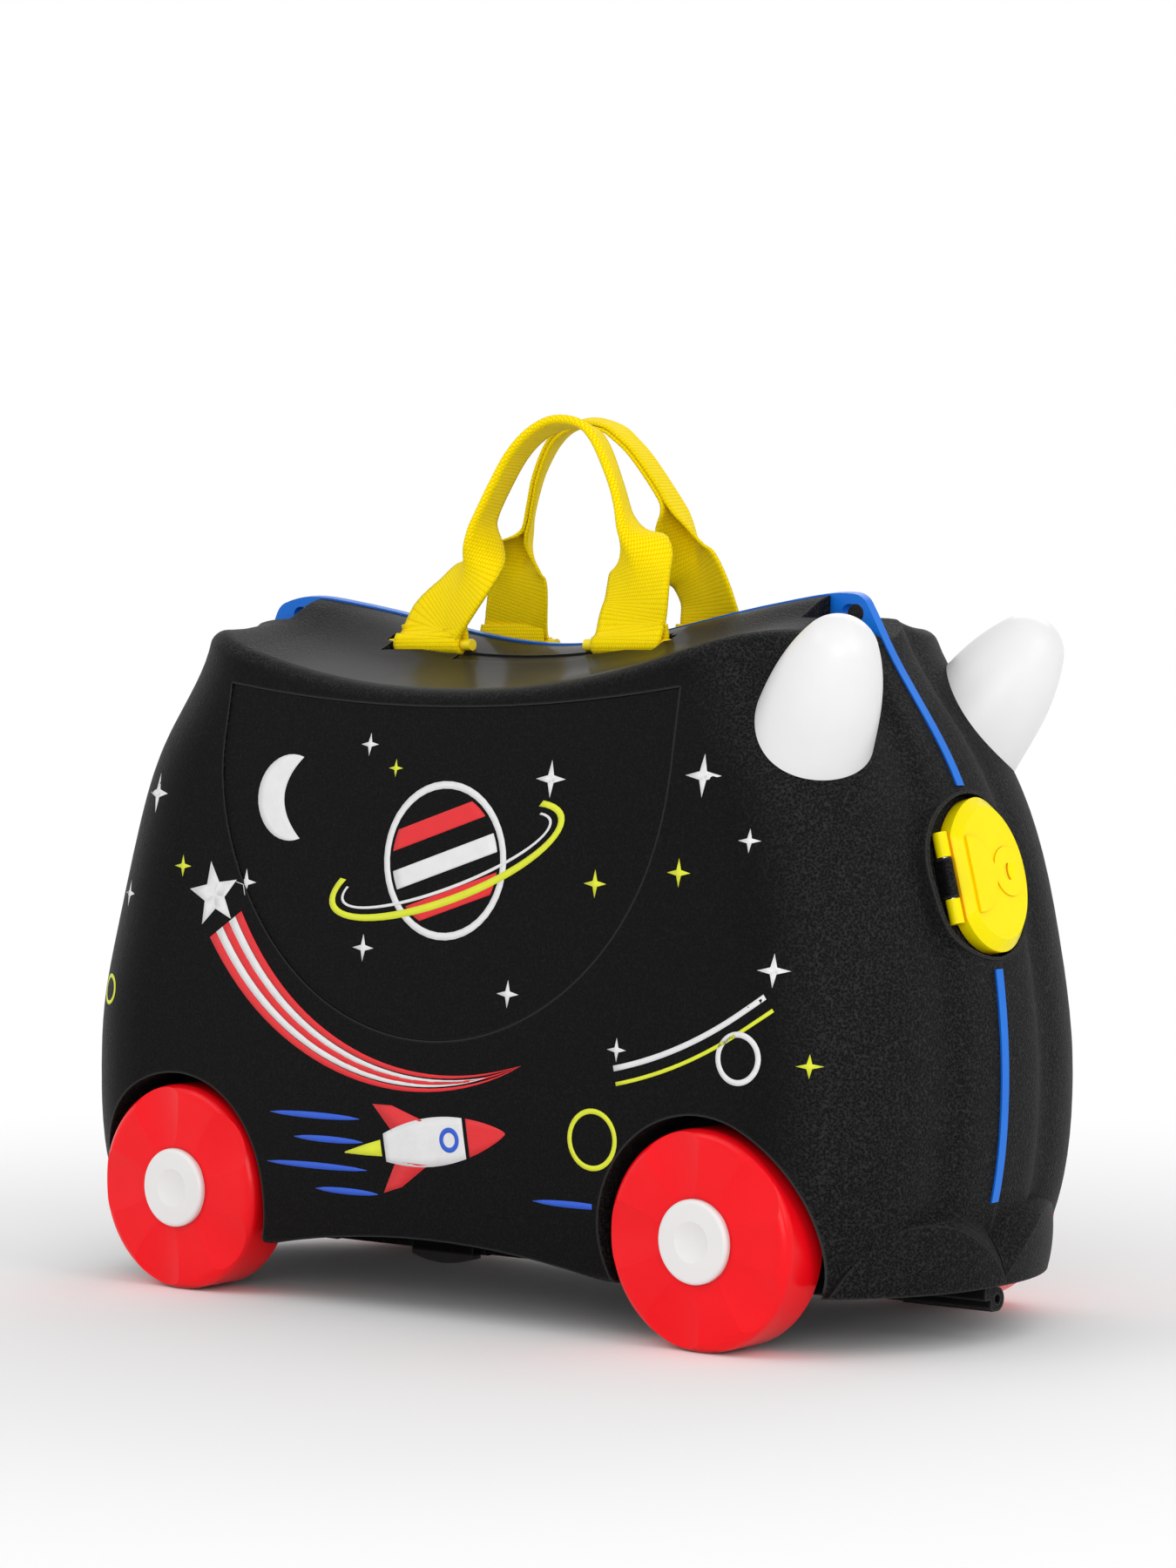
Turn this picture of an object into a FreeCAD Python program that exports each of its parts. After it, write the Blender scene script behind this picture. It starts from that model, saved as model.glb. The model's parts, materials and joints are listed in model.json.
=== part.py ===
import FreeCAD, Part
import math
import os
from FreeCAD import Vector

# Ride-on suitcase: two moulded half shells hinged along the bottom of the seam.
# Frame in millimetres: +X to the horn end, +Z up, origin on the floor below the middle.
# The right half (-Y) carries the catches, the seam trim and the hinge pins.

# Body
wall = 3.0
base_height = 24.0
corner_radius = 57.0
end_flat = 1.0
spine_rise = 6.5
spine_crown_share = 0.95
spine_foot_share = 0.5
rim_round = 8.0
base_round = 5.0
least_round = 1.0
rim_flange_width = 9.0
rim_flange_depth = 8.0
seam_gap = 0.3
# height, reach of the front and of the rear end at the seam, reach of the side
body_levels = [
    (10.0, 214.0, 218.0, 96.0), (40.0, 220.0, 224.0, 100.0), (62.0, 226.0, 229.0, 102.0),
    (96.0, 230.0, 231.0, 102.0), (124.0, 230.0, 230.0, 101.0), (160.0, 226.5, 224.0, 98.0),
    (205.0, 217.5, 213.5, 95.0), (245.0, 200.5, 200.0, 91.0), (286.0, 173.5, 178.5, 85.5),
    (330.0, 143.5, 149.5, 79.0)]
# distance from the middle, spine height, spine half width, height at the spine's foot and at the side
saddle_stations = [
    (0.0, 289.0, 52.0, 278.0, 267.0), (50.0, 294.0, 48.0, 281.0, 269.5), (95.0, 303.0, 38.0, 291.0, 276.5),
    (130.0, 309.0, 27.0, 300.0, 285.5), (160.0, 310.0, 22.0, 301.0, 292.0),
    (260.0, 310.0, 22.0, 301.0, 293.0)]
saddle_reach = 130.0
saddle_side = 95.0
arch_rise = 10.0
arch_half_span = 95.0
toe_axis_x = 127.0
toe_axis_y = 4.0
toe_radius = 102.0
toe_swell = 2.3
toe_swell_height = 40.0
toe_top_radius = 100.5
toe_top_height = 66.0
toe_cap_y = 30.0
toe_cap_z = 13.0
toe_cap_radius = 50.5
toe_cap_start = 208.0
toe_cap_shoulder = 226.5
toe_cap_shoulder_radius = 38.0
toe_cap_end = 232.0
panel_radius = 125.0
panel_centre_height = 245.0
panel_top_height = 272.0
panel_top_dip = 9.5
panel_depth = 0.8

# Seam trim and tow loops
trim_width = 5.0
trim_depth = 3.2
trim_proud = 0.8
trim_clearance = 0.1
trim_upper_end = 231.0
trim_lower_top = 155.5
trim_lower_end = 58.5
loop_start = 144.0
loop_floor = 292.5
loop_hole_length = 11.6
loop_hole_height = 8.0
loop_hole_x = 155.2
loop_hole_z = 302.5
loop_scoop_width = 26.0
loop_scoop_rise = 10.0

# Case hinge
hinge_height = 18.0
hinge_pin_radius = 2.0
hinge_pin_clearance = 0.05
knuckle_radius = 5.0
knuckle_count = 10
knuckle_gap = 0.6
hinge_half_length = 226.0
hinge_pin_recess = 4.0
knuckle_chamfer = 1.5
hinge_web_width = 9.0
skid_x = -68.0
skid_half_length = 18.0
skid_drop = 4.5
skid_inner = 3.0
skid_outer = 8.5

# Wheels
wheel_radius = 46.0
wheel_width = 26.0
wheel_round = 5.0
wheelbase = 290.8
wheel_face = 102.0
wheel_hub_radius = 15.0
wheel_rim_wall = 6.0
wheel_face_wall = 7.0
wheel_rib_count = 5
wheel_rib_width = 3.0
flute_count = 5
flute_depth = 2.6
flute_radius = 48.0
arch_gap = 5.5
well_gap = 6.0
axle_radius = 5.0
axle_clearance = 0.05
axle_seat_clearance = 0.02
axle_collar_radius = 9.0
axle_collar_width = 1.6
axle_collar_gap = 0.5
boss_radius = 11.0
boss_length = 16.0
clip_radius = 9.0
clip_width = 1.2
clip_gap = 0.5
cap_radius = 17.6
cap_face = 105.0
cap_thickness = 3.6
cap_skirt_depth = 2.6
cap_skirt_wall = 1.8
cap_dimple_radius = 8.6
cap_dimple_depth = 1.6
cap_fit = 0.1
hub_pocket_radius = 14.0
hub_pocket_depth = 5.5
axle_end_reach = 1.4

# Catches and their locks
catch_top_height = 223.5
catch_foot_height = 164.5
catch_left = 20.0
catch_right = 28.0
catch_flat_half = 17.0
catch_round_height = 32.6
catch_sink = 5.0
catch_rise = 4.5
catch_floor_gap = 0.6
catch_side_gap = 1.2
catch_scoop = 17.0
catch_scoop_floor = 12.0
catch_pad_rim = 2.5
catch_pad_skirt = 7.0
catch_pad_depth = 14.0
catch_pin_offset = 24.0
catch_pin_radius = 1.5
catch_pin_clearance = 0.05
catch_lug_radius = 3.1
catch_lug_length = 10.4
catch_lug_centre = 14.0
catch_lug_gap = 0.5
catch_hook_offset = 23.6
catch_hook_width = 2.6
catch_hook_length = 12.0
catch_hook_reach = 4.0
catch_hook_gap = 1.2
catch_rib_height = 1.0
catch_rib_reach = 17.0
catch_dome_share = 0.86
catch_dome_height = 4.0
lock_offset = 11.5
lock_radius = 10.5
lock_shank_radius = 4.0
lock_clearance = 0.05
lock_seat_depth = 2.4
lock_seat_gap = 0.3
lock_proud = 0.6
lock_dimple_radius = 4.0
lock_slot_length = 7.0
lock_slot_width = 1.6
lock_slot_depth = 2.0
lock_cam_length = 7.0
lock_cam_width = 6.0
lock_cam_thickness = 1.6
lock_cam_gap = 0.4
lock_pocket_radius = 9.6

# Horns
horn_base_y = 60.8
horn_base_z = 259.2
horn_forward = 31.7
horn_outward = 17.3
horn_upward = 50.0
horn_radius = 25.2
horn_length = 49.2
horn_flank_radius = 23.9
horn_flank_height = 11.3
horn_waist = 20.2
horn_waist_height = 27.5
horn_tip_radius = 16.8
horn_tip_slope = 25.0
horn_wall = 3.0
horn_root = 26.0
horn_root_radius = 28.5
horn_spigot_radius = 8.0
horn_spigot_fit = 0.1
horn_boss_radius = 15.0
horn_boss_depth = 15.0
horn_ring_radius = 14.0
horn_ring_width = 2.0
horn_spigot_end = 1.5

# Handles
handle_bar_x = 56.0
handle_bar_y = 30.0
handle_bar_sink = 0.0
handle_bar_radius = 2.6
handle_bar_length = 48.0
handle_bar_clearance = 0.05
strap_width = 38.0
strap_grip_width = 19.0
strap_ply = 1.7
strap_pocket_gap = 0.8
strap_side_gap = 1.2
pocket_ramp_length = 11.0
pocket_ramp_fall = 0.5
pocket_ramp_lip = 2.0
strap_groove_width = 9.0
strap_groove_y = 36.0
# along X, inward lean as a share of the bar's offset, rise above the bar, share of the fold, twist
strap_route = [
    (-56.0, 0.0, 0.0, 0.0, 0.0), (-56.0, 0.01, 7.0, 0.0, 0.0), (-50.5, 0.07, 17.0, 0.1, 4.0),
    (-42.5, 0.17, 31.0, 0.5, 22.0), (-36.0, 0.30, 48.0, 1.0, 60.0), (-29.0, 0.42, 66.0, 1.0, 85.0),
    (-15.0, 0.55, 87.0, 1.0, 90.0), (4.0, 0.62, 97.0, 1.0, 90.0), (22.0, 0.58, 91.0, 1.0, 90.0),
    (37.0, 0.47, 74.0, 1.0, 85.0), (48.5, 0.33, 53.0, 1.0, 60.0), (55.0, 0.18, 33.0, 0.5, 22.0),
    (57.0, 0.07, 17.0, 0.1, 4.0), (56.0, 0.01, 7.0, 0.0, 0.0), (56.0, 0.0, 0.0, 0.0, 0.0)]

# Sizes that follow
far = 400.0
axle_x = wheelbase / 2
well_radius = wheel_radius + arch_gap
wheel_inner = wheel_face - wheel_width
well_inner = wheel_inner - well_gap
collar_seat = wheel_inner - axle_collar_gap - axle_collar_width
pocket_floor = wheel_face - hub_pocket_depth
cap_seat = cap_face - cap_thickness
skid_seat_height = hinge_height - knuckle_radius
along_x = Vector(1, 0, 0)
along_y = Vector(0, 1, 0)
along_z = Vector(0, 0, 1)


def box(x0, x1, y0, y1, z0, z1):
    return Part.makeBox(x1 - x0, y1 - y0, z1 - z0, Vector(x0, y0, z0))


def rod(start, axis, radius, length):
    return Part.makeCylinder(radius, length, start, axis)


def line(a, b):
    return Part.LineSegment(a, b).toShape()


def prism(points, push):
    return Part.Face(Part.makePolygon(points + [points[0]])).extrude(push)


def solid(shape):
    return shape.Solids[0] if len(shape.Solids) == 1 else shape


def flip_x(shape):
    return shape.mirror(Vector(0, 0, 0), Vector(1, 0, 0))


def flip_y(shape):
    return shape.mirror(Vector(0, 0, 0), Vector(0, 1, 0))


def fuse(first, others):
    return solid(first.fuse(others).removeSplitter()) if others else first


# Half plan of the body at one height: spine, end flat and corner at both ends, side, seam.
def plan_wire(level, inset):
    z, front_end, rear_end, side = level
    side -= inset
    radius = corner_radius - inset
    spine = side - radius - end_flat
    turn = radius * math.sqrt(0.5)

    def end_edges(sign, end):
        flat = end - spine_rise
        hump = Part.BezierCurve()
        hump.setPoles([
            Vector(sign * end, 0, z), Vector(sign * end, -spine_crown_share * spine, z),
            Vector(sign * flat, -spine_foot_share * spine, z), Vector(sign * flat, -spine, z)])
        start = Vector(sign * flat, radius - side, z)
        middle = Vector(sign * (flat - radius + turn), radius - side - turn, z)
        stop = Vector(sign * (flat - radius), -side, z)
        corner = Part.Arc(start, middle, stop).toShape()
        return [hump.toShape(), line(Vector(sign * flat, -spine, z), start), corner], stop

    front, front_stop = end_edges(1, front_end - inset)
    rear, rear_stop = end_edges(-1, rear_end - inset)
    across = line(front_stop, rear_stop)
    seam = line(Vector(inset - rear_end, 0, z), Vector(front_end - inset, 0, z))
    return Part.Wire(front + [across] + rear[::-1] + [seam])


# Cross-section of everything below the saddle at one station.
def saddle_wire(station, inset):
    x, spine, half, foot, side = station
    slope = (foot - side) / (saddle_side - half)
    edge = side - slope * (saddle_reach - saddle_side)
    share = 0.4
    top = Part.BSplineCurve()
    top.interpolate(Points=[
        Vector(x, 10, spine - 0.02 * (spine - foot) - inset), Vector(x, 0, spine - inset),
        Vector(x, -0.5 * half, spine - 0.28 * (spine - foot) - inset), Vector(x, -half, foot - inset),
        Vector(x, -half - share * (saddle_reach - half), foot - share * (foot - edge) - inset),
        Vector(x, -saddle_reach, edge - inset)])
    low = base_height + inset
    a, b = Vector(x, 10, low), Vector(x, -saddle_reach, low)
    return Part.Wire([line(a, top.StartPoint), top.toShape(), line(top.EndPoint, b), line(b, a)])


def face_normal(face):
    u0, u1, v0, v1 = face.ParameterRange
    return face.normalAt((u0 + u1) / 2, (v0 + v1) / 2)


def rim_edges(body, sign):
    chosen = []
    for edge in body.Edges:
        normals = [face_normal(face) for face in body.ancestorsOfType(edge, Part.Face)]
        flat = [n for n in normals if sign * n.z > 0.7]
        if len(normals) == 2 and len(flat) == 1 and all(n.y < 0.9 for n in normals):
            chosen.append(edge)
    return chosen


# The right half's outer form, drawn in by an inset: loft, saddle and rounded rims.
def core_form(inset):
    tub = Part.makeLoft([plan_wire(level, inset) for level in body_levels], True, False)
    rear = [(-station[0],) + station[1:] for station in saddle_stations[:0:-1]]
    below = Part.makeLoft([saddle_wire(s, inset) for s in rear + saddle_stations], True, False)
    body = tub.common(below).Solids[0]
    body = solid(body.makeFillet(max(rim_round - inset, least_round), rim_edges(body, 1)))
    return solid(body.makeFillet(max(base_round - inset, least_round), rim_edges(body, -1)))


# A toe below each end: a swelling round the corner under a round cap.
def toe(inset):
    low = base_height + inset
    high = toe_top_height - inset
    foot = Vector(toe_radius - inset, 0, low)
    swell = Vector(toe_radius + toe_swell - inset, 0, toe_swell_height)
    top = Vector(toe_top_radius - inset, 0, high)
    outline = Part.Wire([
        line(Vector(0, 0, low), foot), Part.Arc(foot, swell, top).toShape(),
        line(top, Vector(0, 0, high)), line(Vector(0, 0, high), Vector(0, 0, low))])
    lobe = Part.Face(outline).revolve(Vector(0, 0, 0), along_z, 360)
    lobe.translate(Vector(toe_axis_x, -toe_axis_y, 0))
    start = Vector(toe_cap_start, toe_cap_radius - inset, 0)
    shoulder = Vector(toe_cap_shoulder - inset, toe_cap_shoulder_radius - inset, 0)
    end = Vector(toe_cap_end - inset, 0, 0)
    back = Vector(toe_axis_x, toe_cap_radius - inset, 0)
    root = Vector(toe_axis_x, 0, 0)
    bend_edge = Part.Arc(start, shoulder, end).toShape()
    cap_edges = [line(root, back), line(back, start), bend_edge, line(end, root)]
    cap = Part.Face(Part.Wire(cap_edges)).revolve(Vector(0, 0, 0), along_x, 360)
    cap.translate(Vector(0, -toe_cap_y, toe_cap_z))
    return lobe.common(cap).common(box(toe_axis_x, far, -far, 0, 0, far))


def base_arch(inset):
    radius = (arch_half_span ** 2 + arch_rise ** 2) / (2 * arch_rise)
    centre = base_height + arch_rise - radius
    return rod(Vector(0, -far, centre), Vector(0, 1, 0), radius + inset, far + 50)


def half_form(inset):
    front = toe(inset)
    return solid(core_form(inset).fuse([front, flip_x(front)]).cut(base_arch(inset)))


outer = half_form(0.0)
inner = half_form(wall)
seam_slab = box(-far, far, -trim_width, 0, 0, far)


# Farthest point of the body from a start point along a direction.
def reach(start, way):
    hit = outer.common(line(start, start + way * far))
    return max((vertex.Point for vertex in hit.Vertexes), key=lambda point: (point - start).dot(way))


# Local frame of a catch: across the seam, up the end face, outward. The rear one is worked out mirrored.
def end_frame(sign):
    high = reach(Vector(0, -0.5, catch_top_height), along_x * sign)
    low = reach(Vector(0, -0.5, catch_foot_height), along_x * sign)
    high, low = Vector(abs(high.x), 0, high.z), Vector(abs(low.x), 0, low.z)
    up = (high - low).normalize()
    out = along_y.cross(up)
    middle = (high + low) / 2
    return FreeCAD.Placement(FreeCAD.Matrix(
        0, up.x, out.x, middle.x, 1, 0, 0, 0, 0, up.z, out.z, middle.z, 0, 0, 0, 1))


end_frames = {1: end_frame(1), -1: end_frame(-1)}


def at_end(shape, sign):
    placed = shape.copy()
    placed.Placement = end_frames[sign].multiply(shape.Placement)
    return placed if sign > 0 else flip_x(placed)


# Egg outline of the catch with its straight hinge edge, grown to the left and all round.
def catch_outline(left_grow, grow, share, n):
    left = (catch_left + left_grow) * share
    right = (catch_right + grow) * share
    height = (catch_round_height + grow) * share
    flat = (catch_flat_half + grow) * share
    egg = Part.BSplineCurve()
    egg.interpolate(Points=[
        Vector(-left, flat, n), Vector(-0.6 * left, 0.80 * height, n), Vector(0.25 * right, height, n),
        Vector(0.75 * right, 0.70 * height, n), Vector(right, 0.02 * height, n),
        Vector(0.68 * right, -0.76 * height, n), Vector(0.2 * right, -height, n),
        Vector(-0.5 * left, -0.90 * height, n), Vector(-left, -flat, n)])
    return Part.Wire([egg.toShape(), line(egg.EndPoint, egg.StartPoint)])


catch_floor = -catch_sink - catch_floor_gap
catch_pin_height = catch_lug_radius - catch_sink
pin_half = catch_lug_centre + catch_lug_length / 2
cam_ceiling = -catch_sink + lock_cam_thickness + 2 * lock_cam_gap


# Oval of the dish that the catch lies in, drawn out to the hinge side.
def dish_outline(left_grow, grow, n):
    left = catch_left + left_grow
    right = catch_right + grow
    height = catch_round_height + grow
    oval = Part.BSplineCurve()
    oval.interpolate(PeriodicFlag=True, Points=[
        Vector(-left, -0.05 * height, n), Vector(-0.87 * left, 0.57 * height, n),
        Vector(-0.42 * left, 0.93 * height, n), Vector(0.25 * right, height, n),
        Vector(0.75 * right, 0.70 * height, n), Vector(right, 0.02 * height, n),
        Vector(0.68 * right, -0.76 * height, n), Vector(0.2 * right, -height, n),
        Vector(-0.45 * left, -0.93 * height, n), Vector(-0.87 * left, -0.60 * height, n)])
    return Part.Wire(oval.toShape())


# A flat floor and a wall that leans out to the hinge side.
def catch_recess(extra):
    grow = catch_side_gap + extra
    floor = dish_outline(catch_scoop_floor + extra, grow, catch_floor - extra)
    rim = dish_outline(catch_scoop + extra, grow, 0.0)
    above = Part.Face(rim).extrude(along_z * far / 10)
    return Part.makeLoft([floor, rim], True, True).fuse(above)


# Raised ground that carries the dish beside the spine.
def catch_pad():
    foot = dish_outline(catch_scoop + catch_pad_skirt, catch_pad_skirt, -catch_pad_depth)
    rim = dish_outline(catch_scoop + catch_pad_rim, catch_pad_rim, 0.0)
    return Part.makeLoft([foot, rim], True, True)


def catch_axis_rod(radius, half):
    return rod(Vector(-catch_pin_offset, -half, catch_pin_height), along_y, radius, 2 * half)


def catch_lug(centre, half):
    arm = box(-catch_pin_offset, 1 - catch_left, centre - half, centre + half, -catch_sink, catch_pin_height)
    eye = rod(Vector(-catch_pin_offset, centre - half, catch_pin_height), along_y, catch_lug_radius, 2 * half)
    return [arm, eye]


def hook(gap):
    half_width = catch_hook_width / 2 + gap
    half_length = catch_hook_length / 2 + gap
    low = -catch_sink - catch_hook_reach - gap
    near, out = catch_hook_offset - half_width, catch_hook_offset + half_width
    return box(near, out, -half_length, half_length, low, 1 - catch_sink)


def catch_local():
    shell = Part.makeLoft([
        catch_outline(0, 0, 1.0, -catch_sink), catch_outline(0, 0, 1.0, catch_rise - catch_dome_height),
        catch_outline(0, 0, catch_dome_share, catch_rise)], True, True)
    rib_edge = -catch_left * catch_dome_share + 1.5
    rib_half = catch_flat_half - 1
    rib_low, rib_high = Vector(rib_edge, -rib_half, 0), Vector(rib_edge, rib_half, 0)
    rib_arc = Part.Arc(rib_low, Vector(rib_edge + catch_rib_reach, 0, 0), rib_high).toShape()
    rib = Part.Face(Part.Wire([rib_arc, line(rib_high, rib_low)]))
    rib = rib.extrude(along_z * (catch_rise + catch_rib_height))
    lug_half = catch_lug_length / 2
    lugs = catch_lug(catch_lug_centre, lug_half) + catch_lug(-catch_lug_centre, lug_half)
    body = fuse(shell, [rib, hook(0)] + lugs)
    lock_centre = Vector(lock_offset, 0, 0)
    seat_floor = along_z * (catch_rise - lock_seat_depth - lock_seat_gap)
    seat = rod(lock_centre + seat_floor, along_z, lock_radius + lock_clearance, far)
    bore = rod(lock_centre - along_z * far, along_z, lock_shank_radius + lock_clearance, 2 * far)
    cam_room = rod(lock_centre - along_z * far, along_z, lock_pocket_radius, far + cam_ceiling)
    knuckle_room = box(-far, -catch_left, lug_half - catch_lug_centre, catch_lug_centre - lug_half, -far, far)
    body = body.cut([seat, bore, cam_room, knuckle_room])
    return solid(body.cut(catch_axis_rod(catch_pin_radius + catch_pin_clearance, pin_half + 1)))


def lock_local():
    face = catch_rise + lock_proud
    disc = rod(Vector(0, 0, catch_rise - lock_seat_depth), along_z, lock_radius, lock_seat_depth + lock_proud)
    cam_low = lock_cam_gap - catch_sink
    shank = rod(Vector(0, 0, cam_low), along_z, lock_shank_radius, catch_rise - lock_seat_depth - cam_low)
    half = lock_cam_width / 2
    cam = box(-half, lock_cam_length, -half, half, cam_low, cam_low + lock_cam_thickness)
    ball_radius = 2 * lock_dimple_radius
    lift = math.sqrt(ball_radius ** 2 - lock_dimple_radius ** 2)
    dimple = Part.makeSphere(ball_radius, Vector(0, 0, face + lift))
    slot = box(
        -lock_slot_width / 2, lock_slot_width / 2, -lock_slot_length / 2, lock_slot_length / 2,
        face - lock_slot_depth, face + 1)
    barrel = solid(fuse(disc, [shank, cam]).cut([dimple, slot]))
    barrel.translate(Vector(lock_offset, 0, 0))
    return barrel


# Straight prism along X of a section given as (y, z) points.
def bar_along_x(x0, x1, section):
    return prism([Vector(x0, y, z) for y, z in section], along_x * (x1 - x0))


def loop_notch(extra):
    start, low = loop_start - extra, loop_floor - extra
    inner_y = -trim_width - trim_clearance
    outer_y = inner_y - loop_scoop_width
    return bar_along_x(start, far, [
        (1, low), (inner_y, low), (outer_y - extra, low + loop_scoop_rise), (outer_y - extra, far), (1, far)])


bar_height = reach(Vector(handle_bar_x, -handle_bar_y, 200), along_z).z - handle_bar_sink
sleeve_radius = handle_bar_radius + handle_bar_clearance + strap_ply
pocket_half = sleeve_radius + strap_pocket_gap
pocket_reach = strap_width / 2 + strap_side_gap


def strap_pocket(half_length, extra):
    half = pocket_half + extra
    lip = bar_height - pocket_ramp_lip - extra
    near, out = -handle_bar_y + half, -handle_bar_y - half
    ramp = -handle_bar_y - pocket_half - pocket_ramp_length
    section = [
        (near, far), (near, bar_height - half), (out, bar_height - half), (out, lip),
        (ramp, lip - pocket_ramp_fall), (ramp, far)]
    return bar_along_x(handle_bar_x - half_length, handle_bar_x + half_length, section)


def bar_notch():
    radius = handle_bar_radius + handle_bar_clearance
    start = Vector(handle_bar_x - handle_bar_length / 2, -handle_bar_y, bar_height)
    slot = box(start.x, start.x + handle_bar_length, start.y - radius, start.y + radius, bar_height, far)
    return [rod(start, along_x, radius, handle_bar_length), slot]


def wheel_well(extra):
    return rod(Vector(axle_x, -far, wheel_radius), along_y, well_radius + extra, far - well_inner + extra)


# The shallow panel on the side and the groove in the saddle between the handle bars.
def surface_relief():
    rim = Vector(panel_radius, 0, 0)
    low = along_z * panel_centre_height
    high = along_z * panel_top_height
    bowl = Part.Arc(low - rim, low - along_z * panel_radius, low + rim).toShape()
    top = Part.Arc(high + rim, high - along_z * panel_top_dip, high - rim).toShape()
    face = Part.Face(Part.Wire([bowl, line(low + rim, high + rim), top, line(high - rim, low - rim)]))
    slab = face.extrude(along_y * -far)
    groove_half = handle_bar_x - pocket_reach
    groove_start = -strap_groove_y - strap_groove_width / 2
    groove_end = groove_start + strap_groove_width
    groove = box(-groove_half, groove_half, groove_start, groove_end, bar_height - far / 10, far)
    return slab.fuse(groove).common(core_form(-1.0)).cut(core_form(panel_depth))


horn_axis = Vector(horn_forward, -horn_outward, horn_upward).normalize()
horn_base = reach(Vector(0, -horn_base_y, horn_base_z), along_x)


def horn_rod(radius, start, length):
    return rod(horn_base + horn_axis * start, horn_axis, radius, length)


hinge_pitch = 2 * hinge_half_length / knuckle_count
hinge_centre = Vector(-hinge_half_length, 0, hinge_height)


# Every second knuckle of the hinge with the web that joins it to one half's floor.
def knuckles(first, side_low, side_high):
    floor = box(-far, far, -far, far, 0, base_height + wall / 2).fuse(base_arch(wall / 2))
    pieces = []
    side = knuckle_radius if side_high > -side_low else -knuckle_radius
    cut = math.copysign(knuckle_chamfer, side)
    low = hinge_height - knuckle_radius
    for index in range(first, knuckle_count, 2):
        x0 = index * hinge_pitch - hinge_half_length + knuckle_gap / 2
        x1 = x0 + hinge_pitch - knuckle_gap
        web = box(x0, x1, side_low, side_high, hinge_height, base_height + arch_rise + wall)
        rail = bar_along_x(x0, x1, [
            (0, hinge_height), (side, hinge_height), (side, low + knuckle_chamfer),
            (side - cut, low), (0, low)])
        barrel = rod(Vector(x0, 0, hinge_height), along_x, knuckle_radius, x1 - x0)
        pieces += [barrel, rail, web.common(floor)]
    return pieces


def hinge_bore(clearance):
    return rod(hinge_centre - along_x * 10, along_x, hinge_pin_radius + clearance, 2 * hinge_half_length + 20)


# What both half shells share, drawn as the right half: the outside with its pockets, and the room inside.
def shared_forms():
    rooms = [box(-far, far, -rim_flange_width, 1, 0, far).cut(core_form(rim_flange_depth))]
    cuts = [surface_relief()]
    for turn in (solid, flip_x):
        pocket_room = strap_pocket(handle_bar_length / 2 + wall, wall)
        rooms += [turn(wheel_well(wall)), turn(loop_notch(wall)), turn(pocket_room)]
        cuts += [turn(wheel_well(0)), turn(loop_notch(0)), turn(strap_pocket(pocket_reach, 0))]
        cuts += [turn(piece) for piece in bar_notch()]
    return outer.cut(cuts), inner.cut(rooms)


body_form, room_form = shared_forms()


# One half shell, drawn as the right half. The turn says which side of the catch recess it holds.
def half_shell(turn):
    recesses = [turn(at_end(catch_recess(0), sign)) for sign in (1, -1)]
    recess_walls = [turn(at_end(catch_recess(wall), sign)) for sign in (1, -1)]
    own_side = box(-far, far, -far, 0, 0, far)
    pads = [turn(at_end(catch_pad(), sign)).common(own_side) for sign in (1, -1)]
    shell = body_form.fuse(pads).cut(recesses + [room_form.cut(recess_walls)])
    boss = rod(Vector(axle_x, -collar_seat, wheel_radius), along_y, boss_radius, boss_length)
    horn_boss = horn_rod(horn_boss_radius, -horn_boss_depth, 2 * horn_boss_depth).common(outer)
    shell = shell.fuse([boss, flip_x(boss), horn_boss])
    bore_radius = axle_radius + axle_seat_clearance
    bore = rod(Vector(axle_x, -collar_seat - 1, wheel_radius), along_y, bore_radius, boss_length + 2)
    horn_bore = horn_rod(horn_spigot_radius + horn_spigot_fit, -2 * horn_boss_depth, 4 * horn_boss_depth)
    return solid(shell.cut([bore, flip_x(bore), horn_bore]))


def trim_region(grow):
    top = box(-far, far, -far, far, trim_upper_end - grow, far)
    low = box(0, far, -far, far, trim_lower_end - grow, trim_lower_top + grow)
    return top, low, flip_x(low)


def seam_trims():
    loops = [box(x0, x1, -far, far, loop_floor, far) for x0, x1 in ((loop_start, far), (-far, -loop_start))]
    inside = core_form(trim_depth).cut(loops)
    ring = core_form(-trim_proud).common(seam_slab).cut(inside)
    top, front, rear = [solid(ring.common(region)) for region in trim_region(0)]
    half = (loop_hole_length - loop_hole_height) / 2
    radius = loop_hole_height / 2
    ends = [Vector(loop_hole_x + x, -far, loop_hole_z) for x in (-half, half)]
    eye = [rod(end, along_y, radius, 2 * far) for end in ends]
    eye.append(box(ends[0].x, ends[1].x, -far, far, loop_hole_z - radius, loop_hole_z + radius))
    eyes = eye + [flip_x(piece) for piece in eye]
    return solid(top.cut(eyes)), front, rear


def trim_groove():
    slab = box(-far, far, -trim_width - trim_clearance, 1, 0, far)
    channel = slab.cut(core_form(trim_depth + trim_clearance))
    return [channel.common(region) for region in trim_region(trim_clearance)]


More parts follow.
